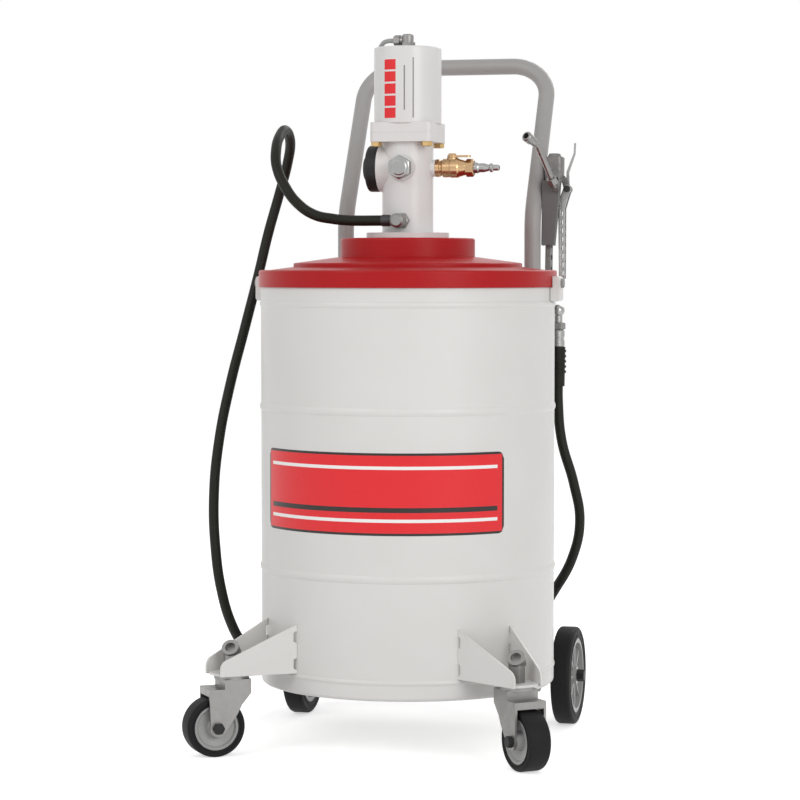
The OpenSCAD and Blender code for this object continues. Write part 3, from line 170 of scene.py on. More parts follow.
def pick(piece, kind, test):
    """Selects the corners, edges or faces of a piece that pass a test on them."""
    bpy.ops.mesh.select_mode(type=kind)
    bpy.ops.mesh.select_all(action="DESELECT")
    shape = bmesh.from_edit_mesh(piece.data)
    items = {"VERT": shape.verts, "EDGE": shape.edges, "FACE": shape.faces}[kind]
    chosen = [item for item in items if test(item)]
    for item in chosen:
        item.select_set(True)
    shape.select_flush_mode()
    bmesh.update_edit_mesh(piece.data)
    return len(chosen)


def close_up(piece):
    """Merges doubled corners, turns the faces outwards and shades round faces smooth."""
    bpy.ops.object.mode_set(mode="EDIT")
    bpy.ops.mesh.select_all(action="SELECT")
    bpy.ops.mesh.remove_doubles(threshold=SAME_PLACE)
    bpy.ops.mesh.normals_make_consistent(inside=False)
    bpy.ops.object.mode_set(mode="OBJECT")
    bpy.ops.object.shade_smooth_by_angle(angle=SMOOTH_ANGLE)
    return len(piece.data.polygons)


def apply_modifier(piece, kind, **settings):
    """Adds one modifier, sets it and applies it."""
    made = piece.modifiers.new(kind.lower(), kind)
    for key, value in settings.items():
        setattr(made, key, value)
    bpy.context.view_layer.objects.active = piece
    bpy.ops.object.modifier_apply(modifier=made.name)


def settle(piece, body, slot, *replaced):
    """Fixes a finished piece to its body and hides the solids that it stands for. The slot is not used."""
    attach(piece, body)
    if replaced:
        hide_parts(*replaced)


print("helpers ready")


# %% [markdown]
# ## Push handle
# The handle is one steel tube: up each leg, back through a lean, and round two corners to the top bar.
# A tube bender makes it by feeding and turning, and the mesh is made in the same way: a ring is extruded
# for each straight stretch and spun for each bend. One half is made, mirrored, and given its wall.

# %% Bend the handle
HANDLE_D = 22 * MM
HANDLE_WALL = 2 * MM
HANDLE_SIDES = 40
HANDLE_X = 130 * MM
HANDLE_Y = 172 * MM + AXIS_Y
HANDLE_FOOT = 85 * MM
LEAN_Z = 660 * MM
LEAN = math.radians(30)
LEAN_R = 80 * MM
LEAN_STEPS = 10
CORNER_R = 52 * MM
CORNER_STEPS = 16
TOP_Z = 890 * MM

lean_way = Vector((0, math.sin(LEAN), math.cos(LEAN)))
lean_length = (TOP_Z - LEAN_Z - LEAN_R * math.sin(LEAN)) / math.cos(LEAN)
lean_top = Vector((HANDLE_X, HANDLE_Y + LEAN_R * (1 - math.cos(LEAN)), LEAN_Z + LEAN_R * math.sin(LEAN)))
corner_start = lean_top + lean_way * (lean_length - CORNER_R)


def feed(step):
    """Pushes the open end of a tube straight on."""
    bpy.ops.mesh.extrude_region_move(TRANSFORM_OT_translate={"value": tuple(step)})


clear_selection()
bpy.ops.mesh.primitive_circle_add(
    vertices=HANDLE_SIDES,
    radius=HANDLE_D / 2,
    fill_type="NOTHING",
    location=(HANDLE_X, HANDLE_Y, HANDLE_FOOT),
)
handle = begin("handle_tube")
feed((0, 0, LEAN_Z - HANDLE_FOOT))
bpy.ops.mesh.spin(
    steps=LEAN_STEPS,
    angle=LEAN,
    center=(HANDLE_X, HANDLE_Y + LEAN_R, LEAN_Z),
    axis=(1, 0, 0),
    use_normal_flip=False,
)
feed(lean_way * (lean_length - CORNER_R))
bpy.ops.mesh.spin(
    steps=CORNER_STEPS,
    angle=math.radians(-90),
    center=corner_start - Vector((CORNER_R, 0, 0)),
    axis=(0, -math.cos(LEAN), math.sin(LEAN)),
    use_normal_flip=False,
)
feed((CORNER_R - HANDLE_X, 0, 0))
bpy.ops.object.mode_set(mode="OBJECT")
apply_modifier(handle, "MIRROR", use_axis=(True, False, False), merge_threshold=0.1 * MM)
close_up(handle)
apply_modifier(handle, "SOLIDIFY", thickness=HANDLE_WALL, offset=-1)
bpy.ops.object.shade_smooth_by_angle(angle=SMOOTH_ANGLE)
settle(handle, "chassis", "handle_paint", "handle_frame")
low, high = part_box("handle_frame")
print("handle", len(handle.data.polygons), "faces; solid from", tuple(low), "to", tuple(high))


# %% [markdown]
# ## Nozzle pipe of the gun
# A thin steel pipe rises from the gun's head and bends towards the coupler. It is bent like the handle,
# at the origin and upright, because that is easy to think in, and is then moved to the gun as one piece.

# %% Bend the nozzle pipe
PIPE_D = 8 * MM
PIPE_SIDES = 28
PIPE_STEPS = 10
PIPE_RISE = 58 * MM
PIPE_R = 16 * MM
PIPE_TURN = math.radians(30)
PIPE_END = 2 * MM
GUN_LEAN = math.radians(4)
GRIP_FOOT = Vector((0, 192 * MM + AXIS_Y, 567 * MM))
PIPE_FOOT = Vector((160.5 * MM, 160 * MM + AXIS_Y, 718 * MM))
PIPE_YAW = math.radians(-22)
PIPE_LEAN = math.radians(41)
BOSS_H = 5 * MM

gun_lean = (
    Matrix.Translation(GRIP_FOOT) @ Matrix.Rotation(-GUN_LEAN, 4, "X") @ Matrix.Translation(-GRIP_FOOT)
)
pipe_place = (
    gun_lean
    @ Matrix.Translation(PIPE_FOOT)
    @ Matrix.Rotation(PIPE_YAW, 4, "Z")
    @ Matrix.Rotation(PIPE_LEAN, 4, "X")
    @ Matrix.Translation((0, 0, BOSS_H))
)

clear_selection()
bpy.ops.mesh.primitive_circle_add(vertices=PIPE_SIDES, radius=PIPE_D / 2, fill_type="NGON")
pipe = begin("nozzle_tube")
feed((0, 0, PIPE_RISE))
bpy.ops.mesh.spin(
    steps=PIPE_STEPS,
    angle=-PIPE_TURN,
    center=(0, -PIPE_R, PIPE_RISE),
    axis=(1, 0, 0),
    use_normal_flip=False,
)
feed((0, -PIPE_END * math.sin(PIPE_TURN), PIPE_END * math.cos(PIPE_TURN)))
bpy.ops.object.mode_set(mode="OBJECT")
pipe.matrix_world = pipe_place
bpy.ops.object.transform_apply(location=True, rotation=True, scale=True)
close_up(pipe)
settle(pipe, "chassis", "zinc_plate", "nozzle_pipe")
low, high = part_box("nozzle_pipe")
print("pipe", len(pipe.data.polygons), "faces; solid from", tuple(low), "to", tuple(high))


# %% [markdown]
# ## Signal tube
# A thin plastic tube carries air from the top of the motor to its flange. It bends freely between two
# fittings, so it is drawn as a curve like the hose, and then turned into a mesh because it never moves.

# %% Draw the signal tube
SIGNAL_D = 6 * MM
SIGNAL_ROUNDING = 4
CYLINDER_R = 43.5
CYLINDER_TOP = 894
ARM_YAW = math.radians(168)
arm = Vector((math.cos(ARM_YAW), math.sin(ARM_YAW), 0))
arm_end = arm * 19 + Vector((0, 0, CYLINDER_TOP + 10))
flange_end = Vector((-22, 56, 805.5))
SIGNAL_ROUTE = [
    arm_end,
    arm_end + arm * 4,
    arm_end + arm * 8,
    Vector((-CYLINDER_R * 0.88, CYLINDER_R * 0.40, CYLINDER_TOP + 7)),
    Vector((-CYLINDER_R * 1.05, CYLINDER_R * 0.66, CYLINDER_TOP - 5)),
    Vector((-CYLINDER_R * 1.02, CYLINDER_R * 0.87, CYLINDER_TOP - 26)),
    Vector((-CYLINDER_R * 0.86, CYLINDER_R * 1.10, CYLINDER_TOP - 52)),
    flange_end + Vector((-3, 0, 26)),
    flange_end + Vector((0, 0, 12)),
    flange_end + Vector((0, 0, 6)),
    flange_end,
]
signal_line = drawn_tube("signal_line", SIGNAL_ROUTE, SIGNAL_D, SIGNAL_ROUNDING)
clear_selection()
signal_line.select_set(True)
bpy.context.view_layer.objects.active = signal_line
bpy.ops.object.convert(target="MESH")
close_up(signal_line)
settle(signal_line, "chassis", "signal_hose", "signal_tube")
print("signal tube", len(signal_line.data.polygons), "faces")


# %% [markdown]
# ## Tyres
# Each tyre is solid rubber, moulded round the wheel's centre. A mould leaves a rounded shoulder, a raised
# ring on the side wall and a shallow groove inside it. A cylinder gives the tread; its ends are inset for
# the rings, the middle is taken out, and the edges are bevelled. One tyre of each size is made and copied.

# %% Mould the tyres
CASTER_TYRE = {"radius": 37.5 * MM, "seat": 28.5 * MM, "width": 30 * MM, "shoulder": 4 * MM}
REAR_TYRE = {"radius": 65 * MM, "seat": 50 * MM, "width": 26 * MM, "shoulder": 5 * MM}
GROOVE = 0.7 * MM
TYRE_SIDES = 96
SHOULDER_STEPS = 6
RING_SHARE = 0.30
SEAT_SHARE = 0.40


def side_faces(piece, inner, outer):
    """Picks the side walls' faces that lie between two radii."""

    def on_side(face):
        middle = face.calc_center_median()
        flat = abs(abs(face.normal.z) - 1) < 0.01
        return flat and inner < math.hypot(middle.x, middle.y) < outer

    return pick(piece, "FACE", on_side)


def moulded_tyre(name, radius, seat, width, shoulder):
    """A tyre on the Z axis, at the origin."""
    clear_selection()
    bpy.ops.mesh.primitive_cylinder_add(
        vertices=TYRE_SIDES, radius=radius, depth=width, end_fill_type="NGON"
    )
    tyre = begin(name)
    wall = radius - seat - shoulder
    for inset in (shoulder, wall * RING_SHARE, wall * RING_SHARE, wall * SEAT_SHARE):
        pick(tyre, "FACE", lambda face: len(face.verts) == TYRE_SIDES)
        bpy.ops.mesh.inset(thickness=inset, use_individual=True)
    pick(tyre, "FACE", lambda face: len(face.verts) == TYRE_SIDES)
    bpy.ops.mesh.delete(type="ONLY_FACE")
    pick(tyre, "EDGE", lambda edge: edge.is_boundary)
    bpy.ops.mesh.bridge_edge_loops()
    ring_in = seat + wall * SEAT_SHARE
    side_faces(tyre, ring_in, ring_in + wall * RING_SHARE)
    bpy.ops.mesh.extrude_region_shrink_fatten(TRANSFORM_OT_shrink_fatten={"value": -GROOVE})
    pick(
        tyre,
        "EDGE",
        lambda edge: all(abs(math.hypot(v.co.x, v.co.y) - radius) < SAME_PLACE for v in edge.verts)
        and abs(edge.verts[0].co.z - edge.verts[1].co.z) < SAME_PLACE,
    )
    bpy.ops.mesh.bevel(offset=shoulder * 0.98, segments=SHOULDER_STEPS, affect="EDGES")
    close_up(tyre)
    return tyre


def copied(piece, name, place):
    """A copy of a piece with a mesh of its own, moved to its place."""
    clear_selection()
    piece.select_set(True)
    bpy.context.view_layer.objects.active = piece
    bpy.ops.object.duplicate(linked=False)
    copy = bpy.context.object
    copy.name = name
    copy.data.name = name
    copy.matrix_world = place
    bpy.ops.object.transform_apply(location=True, rotation=True, scale=True)
    return copy


def wheel_place(node, axis):
    """Where a wheel's middle is, with Z turned to lie along its axle."""
    low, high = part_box(node)
    turn = Vector((0, 0, 1)).rotation_difference(axis)
    return Matrix.Translation((low + high) / 2) @ turn.to_matrix().to_4x4()


caster_model = moulded_tyre("caster_tyre_model", **CASTER_TYRE)
rear_model = moulded_tyre("rear_tyre_model", **REAR_TYRE)


def axle_across(heading):
    """The axle of a wheel that rolls towards a heading, in degrees from +X."""
    angle = math.radians(heading + 90)
    return Vector((math.cos(angle), math.sin(angle), 0))


WHEELS = {
    "caster_tyre_left": (caster_model, axle_across(-145), "caster_wheel_left"),
    "caster_tyre_right": (caster_model, axle_across(-49), "caster_wheel_right"),
    "rear_tyre_left": (rear_model, Vector((-1, 0, 0)), "rear_wheel_left"),
    "rear_tyre_right": (rear_model, Vector((1, 0, 0)), "rear_wheel_right"),
}
tyres = {}
for node, (model, axis, body) in WHEELS.items():
    tyre = copied(model, node.replace("tyre", "rubber"), wheel_place(node, axis))
    settle(tyre, body, "tyre_rubber", node)
    tyres[node] = tyre
for model in (caster_model, rear_model):
    bpy.data.objects.remove(model)
print("tyres", {name: len(tyre.data.polygons) for name, tyre in tyres.items()})


# %% [markdown]
# ## Label on the drum
# A printed film is stuck round the drum's front, and a small one runs up the motor. A film is a thin sheet
# that follows the curve under it, so each starts as an open cylinder just outside the metal. What lies
# beyond the film is deleted, the corners are rounded, and a wall makes it a real sheet.

# %% Cut the label films
FILM = 0.15 * MM
FILM_GAP = 0.05 * MM
FILM_COLUMNS = 360


def film(name, radius, low, high, left, right, corner):
    """A thin sheet round the drum's axis, between two heights and two angles from the front."""
    clear_selection()
    bpy.ops.mesh.primitive_cylinder_add(
        vertices=FILM_COLUMNS,
        radius=radius,
        depth=high - low,
        end_fill_type="NOTHING",
        location=(0, AXIS_Y, (low + high) / 2),
    )
    sheet = begin(name)

    def angle(place):
        return math.degrees(math.atan2(place.x, AXIS_Y - place.y))

    pick(sheet, "FACE", lambda face: not left < angle(face.calc_center_median()) < right)
    bpy.ops.mesh.delete(type="FACE")
    bpy.ops.mesh.select_all(action="SELECT")
    shape = bmesh.from_edit_mesh(sheet.data)
    chart = shape.loops.layers.uv.verify()
    ends = [angle(corner_vert.co) for corner_vert in shape.verts]
    first, last = min(ends), max(ends)
    reach = math.radians(last - first) * radius
    for vert in shape.verts:
        along = math.radians(angle(vert.co) - first) * radius
        short = corner - min(along, reach - along)
        if short > 0:
            drop = corner - math.sqrt(max(corner * corner - short * short, 0))
            vert.co.z += -drop if vert.co.z > (low + high) / 2 else drop
    for face in shape.faces:
        for loop in face.loops:
            along = math.radians(angle(loop.vert.co) - first) * radius
            loop[chart].uv = (along / reach, (loop.vert.co.z - low) / (high - low))
    bmesh.update_edit_mesh(sheet.data)
    bpy.ops.object.mode_set(mode="OBJECT")
    apply_modifier(sheet, "SOLIDIFY", thickness=FILM, offset=1)
    bpy.ops.object.shade_smooth_by_angle(angle=SMOOTH_ANGLE)
    return sheet


DRUM_R = 190 * MM + FILM_GAP
MOTOR_R = 43.5 * MM + FILM_GAP
FILMS = {
    "drum_label": (DRUM_R, 281 * MM, 383 * MM, -53, 53, 9 * MM),
    "motor_blocks": (MOTOR_R, 802 * MM, 879 * MM, -29, -7, 0.5 * MM),
    "motor_line_inner": (MOTOR_R, 812 * MM, 869 * MM, 7, 9, 0.3 * MM),
    "motor_line_outer": (MOTOR_R, 802 * MM, 879 * MM, 22, 24, 0.3 * MM),
}
films = {name: film(name, *size) for name, size in FILMS.items()}
for sheet in films.values():
    settle(sheet, "chassis", "lid_paint")
print("films", {name: len(sheet.data.polygons) for name, sheet in films.items()})


# %% [markdown]
# ## Finishes
# Colours are picked from a colour chart as sRGB hex values, but a shader counts light, so one function
# turns them to linear. Another adds a node with its settings and links, which keeps each finish short.
# Patterns read Object coordinates in metres, so a pattern of s millimetres has a scale of 1000 / s.

# %% Colour and node helpers
def linear(code, alpha=1.0):
    """A colour such as #DCDBD9 as linear light."""
    parts = [int(code[i : i + 2], 16) / 255 for i in (1, 3, 5)]
    return tuple(c / 12.92 if c <= 0.04045 else ((c + 0.055) / 1.055) ** 2.4 for c in parts) + (alpha,)


def add(material, kind, links=None, values=None, **settings):
    """Adds a node to a material, with its settings, its input values and its links."""
    tree = material.node_tree
    made = tree.nodes.new(kind)
    for key, value in settings.items():
        setattr(made, key, value)
    for key, value in (values or {}).items():
        made.inputs[key].default_value = value
    for key, source in (links or {}).items():
        tree.links.new(source, made.inputs[key])
    return made


def new_finish(name, **sockets):
    """An empty material with one shader, whose even values sit on its own sockets."""
    material = bpy.data.materials.new(name)
    material.use_nodes = True
    material.node_tree.nodes.clear()
    shader = add(material, "ShaderNodeBsdfPrincipled", values=sockets)
    add(material, "ShaderNodeOutputMaterial", links={"Surface": shader.outputs["BSDF"]})
    return material, shader


def join(material, source, shader, socket):
    """Links a node's output to a socket of the shader."""
    material.node_tree.links.new(source, shader.inputs[socket])


def per_mm(size):
    """The scale of a pattern that repeats after a size in millimetres."""
    return 1000 / size


print("helpers ready")


# %% [markdown]
# ## Powder coat
# The drum, its brackets, the lid and the handle are steel with a baked powder coat. The powder melts into
# a skin with a faint orange peel, a few millimetres from dimple to dimple, and a soft gloss. The tone
# drifts a little over a hand's width. All the coats share that make-up and differ in colour and gloss.
# A solid's edges are dead sharp, which paint never is, so a Bevel node bends the light at each edge.

# %% Coat the sheet metal
EDGE_R = 0.8 * MM


def powder_coat(name, colour, deep, roughness, peel_mm=3.0, peel_depth=0.012, specular=0.5):
    """Baked powder paint: an even colour that drifts slightly, over a shallow orange peel."""
    material, shader = new_finish(name, **{"IOR": 1.5, "Specular IOR Level": specular})
    place = add(material, "ShaderNodeTexCoord")
    drift = add(
        material,
        "ShaderNodeTexNoise",
        links={"Vector": place.outputs["Object"]},
        values={"Scale": per_mm(90), "Detail": 3.0, "Roughness": 0.55},
    )
    tone = add(
        material,
        "ShaderNodeMix",
        links={"Factor": drift.outputs["Fac"]},
        data_type="RGBA",
    )
    # The mix's colour sockets are reached by place, because its float sockets share their names.
    tone.inputs[6].default_value = linear(colour)
    tone.inputs[7].default_value = linear(deep)
    join(material, tone.outputs[2], shader, "Base Color")
    gloss = add(
        material,
        "ShaderNodeMapRange",
        links={"Value": drift.outputs["Fac"]},
        values={"From Min": 0.3, "From Max": 0.7, "To Min": roughness - 0.02, "To Max": roughness + 0.02},
    )
    join(material, gloss.outputs["Result"], shader, "Roughness")
    peel = add(
        material,
        "ShaderNodeTexNoise",
        links={"Vector": place.outputs["Object"]},
        values={"Scale": per_mm(peel_mm), "Detail": 1.0},
    )
    edge = add(material, "ShaderNodeBevel", values={"Radius": EDGE_R}, samples=4)
    bump = add(
        material,
        "ShaderNodeBump",
        links={"Height": peel.outputs["Fac"], "Normal": edge.outputs["Normal"]},
        values={"Strength": 0.35, "Distance": peel_depth * MM},
    )
    join(material, bump.outputs["Normal"], shader, "Normal")
    return material


white_coat = powder_coat("white_powder_coat", "#DEDDDB", "#D8D6D3", 0.38)
red_coat = powder_coat("red_powder_coat", "#B1191D", "#A91519", 0.34, specular=0.2)
grey_coat = powder_coat("grey_powder_coat", "#A4A2A0", "#9D9B99", 0.42)
dark_coat = powder_coat("dark_grey_powder_coat", "#686665", "#605E5D", 0.45)
print("coats", [m.name for m in (white_coat, red_coat, grey_coat, dark_coat)])


# %% [markdown]
# ## Enamel on the castings
# The pump's column and its air cylinder are castings with a glossy white enamel. Liquid paint flows out
# smoother than powder, but a sand casting under it stays slightly uneven over a centimetre or so.

# %% Paint the castings
pump_enamel = powder_coat("white_casting_enamel", "#DFDEDD", "#D9D7D5", 0.30, peel_mm=9.0, peel_depth=0.01)
print("enamel", pump_enamel.name)


# %% [markdown]
# ## Plated and turned metal
# Zinc plate is a thin bright skin with a cloudy, slightly milky look. Turned steel and brass carry fine
# rings from the lathe. A metal has no colour under its gloss, so the shader is fully metallic and keeps
# its default IOR. The clouds change the roughness, and with it how sharp the reflections are.

# %% Plate and polish the metals
def metal(name, colour, deep, roughness, cloud_mm, grain_mm, grain_depth):
    """Bare or plated metal: cloudy gloss over a fine grain."""
    material, shader = new_finish(name, Metallic=1.0)
    place = add(material, "ShaderNodeTexCoord")
    cloud = add(
        material,
        "ShaderNodeTexNoise",
        links={"Vector": place.outputs["Object"]},
        values={"Scale": per_mm(cloud_mm), "Detail": 4.0, "Roughness": 0.6},
    )
    tone = add(
        material, "ShaderNodeMix", links={"Factor": cloud.outputs["Fac"]}, data_type="RGBA"
    )
    tone.inputs[6].default_value = linear(colour)
    tone.inputs[7].default_value = linear(deep)
    join(material, tone.outputs[2], shader, "Base Color")
    gloss = add(
        material,
        "ShaderNodeMapRange",
        links={"Value": cloud.outputs["Fac"]},
        values={"From Min": 0.3, "From Max": 0.7, "To Min": roughness - 0.08, "To Max": roughness + 0.08},
    )
    join(material, gloss.outputs["Result"], shader, "Roughness")
    grain = add(
        material,
        "ShaderNodeTexNoise",
        links={"Vector": place.outputs["Object"]},
        values={"Scale": per_mm(grain_mm), "Detail": 2.0},
    )
    edge = add(material, "ShaderNodeBevel", values={"Radius": EDGE_R / 2}, samples=4)
    bump = add(
        material,
        "ShaderNodeBump",
        links={"Height": grain.outputs["Fac"], "Normal": edge.outputs["Normal"]},
        values={"Strength": 0.3, "Distance": grain_depth * MM},
    )
    join(material, bump.outputs["Normal"], shader, "Normal")
    return material


zinc = metal("satin_zinc_plate", "#989795", "#888785", 0.42, 14, 1.5, 0.02)
steel = metal("turned_bright_steel", "#ABABAA", "#999998", 0.28, 20, 1.2, 0.008)
yellow = metal("yellow_passivated_zinc", "#D2B684", "#C29F68", 0.36, 6, 1.2, 0.01)
alloy = metal("blasted_cast_aluminium", "#8A8886", "#737170", 0.50, 8, 0.9, 0.05)
brass = metal("turned_brass", "#CDAE88", "#B48E66", 0.28, 12, 1.2, 0.008)
print("metals", [m.name for m in (zinc, steel, yellow, alloy, brass)])


# %% [markdown]
# ## Rubber and plastic
# Tyres, hose and seals are carbon-black rubber: dark, matt, and dusty on the high spots. The caps are
# moulded plastic with a fine spark-eroded texture. They share one make-up with the texture's size and
# depth changed. The texture is drawn a little coarser than the real one so that it shows at all.

# %% Mould the rubber and plastic
def moulded(name, colour, dusty, roughness, grit_mm, grit_depth, specular=0.4):
    """Matt moulding: two close tones, and a fine grit from the mould."""
    material, shader = new_finish(name, **{"IOR": 1.5, "Specular IOR Level": specular})
    place = add(material, "ShaderNodeTexCoord")
    dust = add(
        material,
        "ShaderNodeTexNoise",
        links={"Vector": place.outputs["Object"]},
        values={"Scale": per_mm(35), "Detail": 5.0, "Roughness": 0.6},
    )
    tone = add(material, "ShaderNodeMix", links={"Factor": dust.outputs["Fac"]}, data_type="RGBA")
    tone.inputs[6].default_value = linear(colour)
    tone.inputs[7].default_value = linear(dusty)
    join(material, tone.outputs[2], shader, "Base Color")
    gloss = add(
        material,
        "ShaderNodeMapRange",
        links={"Value": dust.outputs["Fac"]},
        values={"From Min": 0.3, "From Max": 0.7, "To Min": roughness - 0.06, "To Max": roughness + 0.06},
    )
    join(material, gloss.outputs["Result"], shader, "Roughness")
    grit = add(
        material,
        "ShaderNodeTexNoise",
        links={"Vector": place.outputs["Object"]},
        values={"Scale": per_mm(grit_mm), "Detail": 2.0},
    )
    bump = add(
        material,
        "ShaderNodeBump",
        links={"Height": grit.outputs["Fac"]},
        values={"Strength": 0.4, "Distance": grit_depth * MM},
    )
    join(material, bump.outputs["Normal"], shader, "Normal")
    return material


tyre_rubber = moulded("moulded_tyre_rubber", "#131315", "#1A1A1C", 0.62, 1.4, 0.06, specular=0.2)
hose_rubber = moulded("smooth_hose_rubber", "#15150F", "#1C1C15", 0.50, 1.6, 0.03, specular=0.22)
seal_rubber = moulded("nitrile_seal_rubber", "#1E1E1E", "#252525", 0.65, 1.2, 0.03)
black_plastic = moulded("spark_eroded_black_plastic", "#1B1B1C", "#222223", 0.48, 1.0, 0.04, specular=0.3)
black_oxide = moulded("black_oxide_steel", "#1C1C1D", "#242425", 0.40, 1.2, 0.01, specular=0.6)
hub_plastic = moulded("grey_polypropylene", "#A5A5A4", "#9C9C9B", 0.36, 1.8, 0.02, specular=0.5)
tube_plastic = moulded("grey_polyamide_tube", "#A2A3A3", "#999A9A", 0.40, 2.0, 0.01, specular=0.5)
print("mouldings", [m.name for m in (tyre_rubber, hose_rubber, black_plastic, hub_plastic)])


# %% [markdown]
# ## Printed film
# The labels are gloss vinyl, screen-printed in plain shapes: stripes on the drum, and blocks and lines
# on the motor. Print has no depth, so it is drawn in the material, on the film's own UV map, where U runs
# round the drum and V runs up. A clear coat gives it shine, and the ink's fine specks vary the gloss.

# %% Print the films
def band(material, value, low, high):
    """One where a value lies between two limits, and none elsewhere."""
    above = add(material, "ShaderNodeMath", links={0: value}, values={1: low}, operation="GREATER_THAN")
    below = add(material, "ShaderNodeMath", links={0: value}, values={1: high}, operation="LESS_THAN")
    both = add(
        material,
        "ShaderNodeMath",
        links={0: above.outputs[0], 1: below.outputs[0]},
        operation="MULTIPLY",
    )
    return both.outputs[0]


def printed(name, ground, prints):
    """Gloss film with a ground colour and printed boxes: (colour, u from, u to, v from, v to)."""
    material, shader = new_finish(
        name, **{"Specular IOR Level": 0.3, "Coat Weight": 0.25, "Coat Roughness": 0.12}
    )
    shader.inputs["Base Color"].default_value = linear(ground)
    place = add(material, "ShaderNodeTexCoord")
    specks = add(
        material,
        "ShaderNodeTexNoise",
        links={"Vector": place.outputs["Object"]},
        values={"Scale": per_mm(1.5), "Detail": 2.0},
    )
    gloss = add(
        material,
        "ShaderNodeMapRange",
        links={"Value": specks.outputs["Fac"]},
        values={"From Min": 0.3, "From Max": 0.7, "To Min": 0.27, "To Max": 0.37},
    )
    join(material, gloss.outputs["Result"], shader, "Roughness")
    chart = add(material, "ShaderNodeUVMap")
    parts = add(material, "ShaderNodeSeparateXYZ", links={"Vector": chart.outputs["UV"]})
    colour = None
    for ink, u_low, u_high, v_low, v_high in prints:
        box = add(
            material,
            "ShaderNodeMath",
            links={
                0: band(material, parts.outputs["X"], u_low, u_high),
                1: band(material, parts.outputs["Y"], v_low, v_high),
            },
            operation="MULTIPLY",
        )
        layer = add(material, "ShaderNodeMix", links={"Factor": box.outputs[0]}, data_type="RGBA")
        layer.inputs[6].default_value = linear(ground)
        layer.inputs[7].default_value = linear(ink)
        if colour is not None:
            material.node_tree.links.new(colour, layer.inputs[6])
        colour = layer.outputs[2]
    if colour is not None:
        join(material, colour, shader, "Base Color")
    return material


RED_INK = "#E4232A"
DARK_INK = "#26221F"
WHITE_INK = "#F2F1EF"
drum_print = printed(
    "printed_drum_film",
    DARK_INK,
    [
        (RED_INK, 0.009, 0.991, 0.03, 0.97),
        (WHITE_INK, 0.030, 0.970, 0.80, 0.84),
        (WHITE_INK, 0.030, 0.970, 0.16, 0.20),
        (DARK_INK, 0.030, 0.970, 0.28, 0.34),
    ],
)
block_print = printed(
    "printed_block_film",
    "#DFDEDD",
    [(RED_INK, 0.0, 1.0, 0.2 * step, 0.2 * step + 0.17) for step in range(5)],
)
line_print = printed("printed_line_film", "#86807E", [])
print("films printed")


# %% [markdown]
# ## Giving each solid its finish
# The solids are grouped by the finish that the real piece has, and each gets it on its own slot.
# Their meshes stay as they are, because the motion and the checks use the same solids. The pieces made
# here take their finish in the same way, and a last look shows whether any solid was left out.

# %% Dress the solids
FINISHES = {
    white_coat: ["drum_body", "lid_clamps", "bracket_left", "bracket_right", "axle_brackets"],
    red_coat: ["lid"],
    pump_enamel: ["pump_body", "air_cylinder"],
    grey_coat: ["handle_standoffs"],
    dark_coat: ["gun_holder"],
    zinc: [
        "clamp_screws", "stem_posts", "fork_left", "fork_right", "axle_spacers", "nozzle_nut",
        "grease_coupler", "swivel_nut", "outlet_elbow", "tube_elbows", "clamp_nut",
    ],
    steel: [
        "king_pin_left", "king_pin_right", "rear_axle", "gun_lever", "gun_swivel", "gun_ferrule",
        "hex_plug", "air_nipple", "pump_tube", "air_piston", "foot_valve", "valve_ball",
    ],
    yellow: ["head_bolts"],
    alloy: ["gun_body"],
    brass: ["air_valve", "valve_lever"],
    black_oxide: ["lever_pin", "hose_ferrule"],
    black_plastic: ["exhaust_cap", "axle_nuts", "caster_axle_left", "caster_axle_right"],
    hub_plastic: ["caster_hub_left", "caster_hub_right", "rear_hub_left", "rear_hub_right"],
    hose_rubber: ["hose_guard"],
    seal_rubber: ["lid_gasket", "piston_seal", "follower_plate"],
}


def dress(piece, material):
    """Puts one finish on every slot of a piece, or on a new slot where it has none."""
    if not piece.material_slots:
        piece.data.materials.append(material)
    for place in piece.material_slots:
        place.material = material


for material, names in FINISHES.items():
    for name in names:
        dress(nodes[name], material)
for piece, material in (
    (grease_line, hose_rubber),
    (handle, grey_coat),
    (pipe, zinc),
    (signal_line, tube_plastic),
    (films["drum_label"], drum_print),
    (films["motor_blocks"], block_print),
    (films["motor_line_inner"], line_print),
    (films["motor_line_outer"], line_print),
    *((tyre, tyre_rubber) for tyre in tyres.values()),
):
    dress(piece, material)
bare = [
    name
    for name in nodes
    if name not in {n for names in FINISHES.values() for n in names} and not nodes[name].hide_render
]
print("solids without a finish:", bare)


# %% [markdown]
# ## Floor, light and world
# The pump stands on a plain white floor in a white studio. Large soft lamps give gentle shading with no
# hard shadow, and the white world fills the rest. The camera, and mirrors of it in metal, see the world
# and the far floor as plain white, while the light on the pump stays at a normal level.

# %% Set the stage
FLOOR_SIZE = 14.0
FLOOR_GLOW = 0.55


def light_path_white(material, paths):
    """One on rays from the camera, or that reach it by way of a mirror or glass."""
    first = add(
        material,
        "ShaderNodeMath",
        links={0: paths.outputs["Is Camera Ray"], 1: paths.outputs["Is Glossy Ray"]},
        operation="MAXIMUM",
    )
    both = add(
        material,
        "ShaderNodeMath",
        links={0: first.outputs[0], 1: paths.outputs["Is Transmission Ray"]},
        operation="MAXIMUM",
    )
    return both.outputs[0]


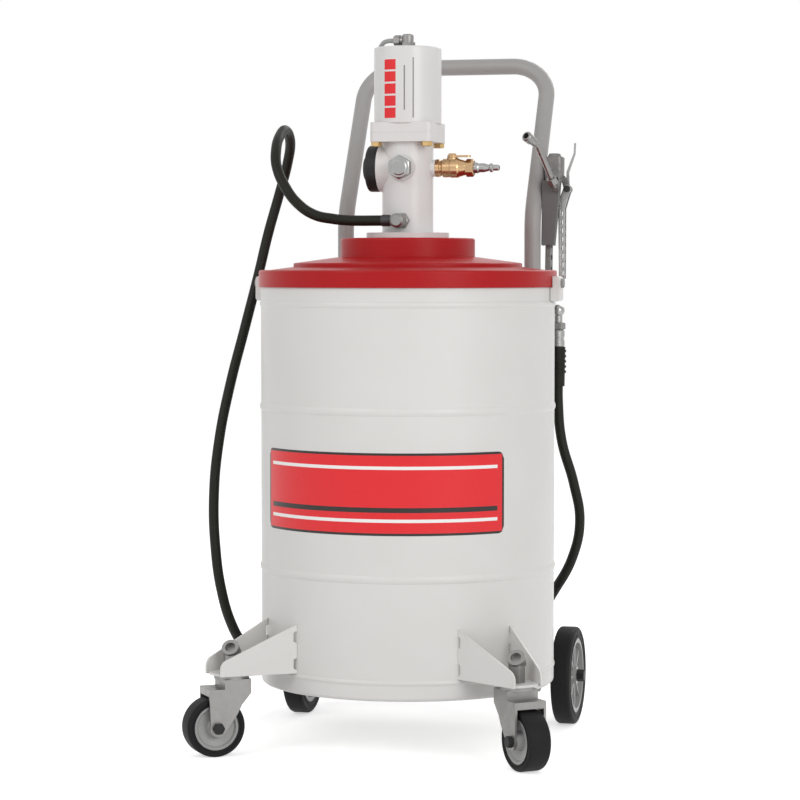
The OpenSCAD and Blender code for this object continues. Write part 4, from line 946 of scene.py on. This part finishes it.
clear_selection()
bpy.ops.mesh.primitive_plane_add(size=FLOOR_SIZE)
floor = begin("studio_floor")
bpy.ops.mesh.subdivide(number_cuts=3)
bpy.ops.object.mode_set(mode="OBJECT")
floor_paint = bpy.data.materials.new("white_studio_floor")
floor_paint.use_nodes = True
floor_paint.node_tree.nodes.clear()
matt = add(floor_paint, "ShaderNodeBsdfDiffuse", values={"Color": linear("#F4F4F4")})
glow = add(floor_paint, "ShaderNodeEmission", values={"Color": linear("#FFFFFF")})
paths = add(floor_paint, "ShaderNodeLightPath")
lift = add(
    floor_paint,
    "ShaderNodeMath",
    links={0: light_path_white(floor_paint, paths)},
    values={1: FLOOR_GLOW},
    operation="MULTIPLY",
)
floor_paint.node_tree.links.new(lift.outputs[0], glow.inputs["Strength"])
sum_up = add(
    floor_paint, "ShaderNodeAddShader", links={0: matt.outputs["BSDF"], 1: glow.outputs["Emission"]}
)
add(floor_paint, "ShaderNodeOutputMaterial", links={"Surface": sum_up.outputs["Shader"]})
dress(floor, floor_paint)

WORLD_LEVEL = 0.58
world = bpy.data.worlds.new("white_studio")
bpy.context.scene.world = world
world.use_nodes = True
world.node_tree.nodes.clear()
paths = add(world, "ShaderNodeLightPath")
level = add(
    world,
    "ShaderNodeMapRange",
    links={"Value": light_path_white(world, paths)},
    values={"To Min": WORLD_LEVEL, "To Max": 1.0},
)
sky = add(
    world,
    "ShaderNodeBackground",
    links={"Strength": level.outputs["Result"]},
    values={"Color": linear("#FFFFFF")},
)
add(world, "ShaderNodeOutputWorld", links={"Surface": sky.outputs["Background"]})

LAMPS = {
    "key_softbox": ((-1.6, -2.6, 2.2), 1.6, 21),
    "fill_softbox": ((2.2, -2.2, 1.5), 1.8, 28),
    "back_softbox": ((0.6, 2.4, 2.2), 1.6, 16),
}
LAMP_TARGET = Vector((0, 0, 0.45))
for name, (place, size, watts) in LAMPS.items():
    away = LAMP_TARGET - Vector(place)
    bpy.ops.object.light_add(type="AREA", location=place, rotation=away.to_track_quat("-Z", "Y").to_euler())
    lamp = bpy.context.object
    lamp.name = name
    lamp.data.shape = "DISK"
    lamp.data.size = size
    lamp.data.energy = watts
bpy.context.scene.view_settings.view_transform = "Standard"
print("lamps", list(LAMPS))
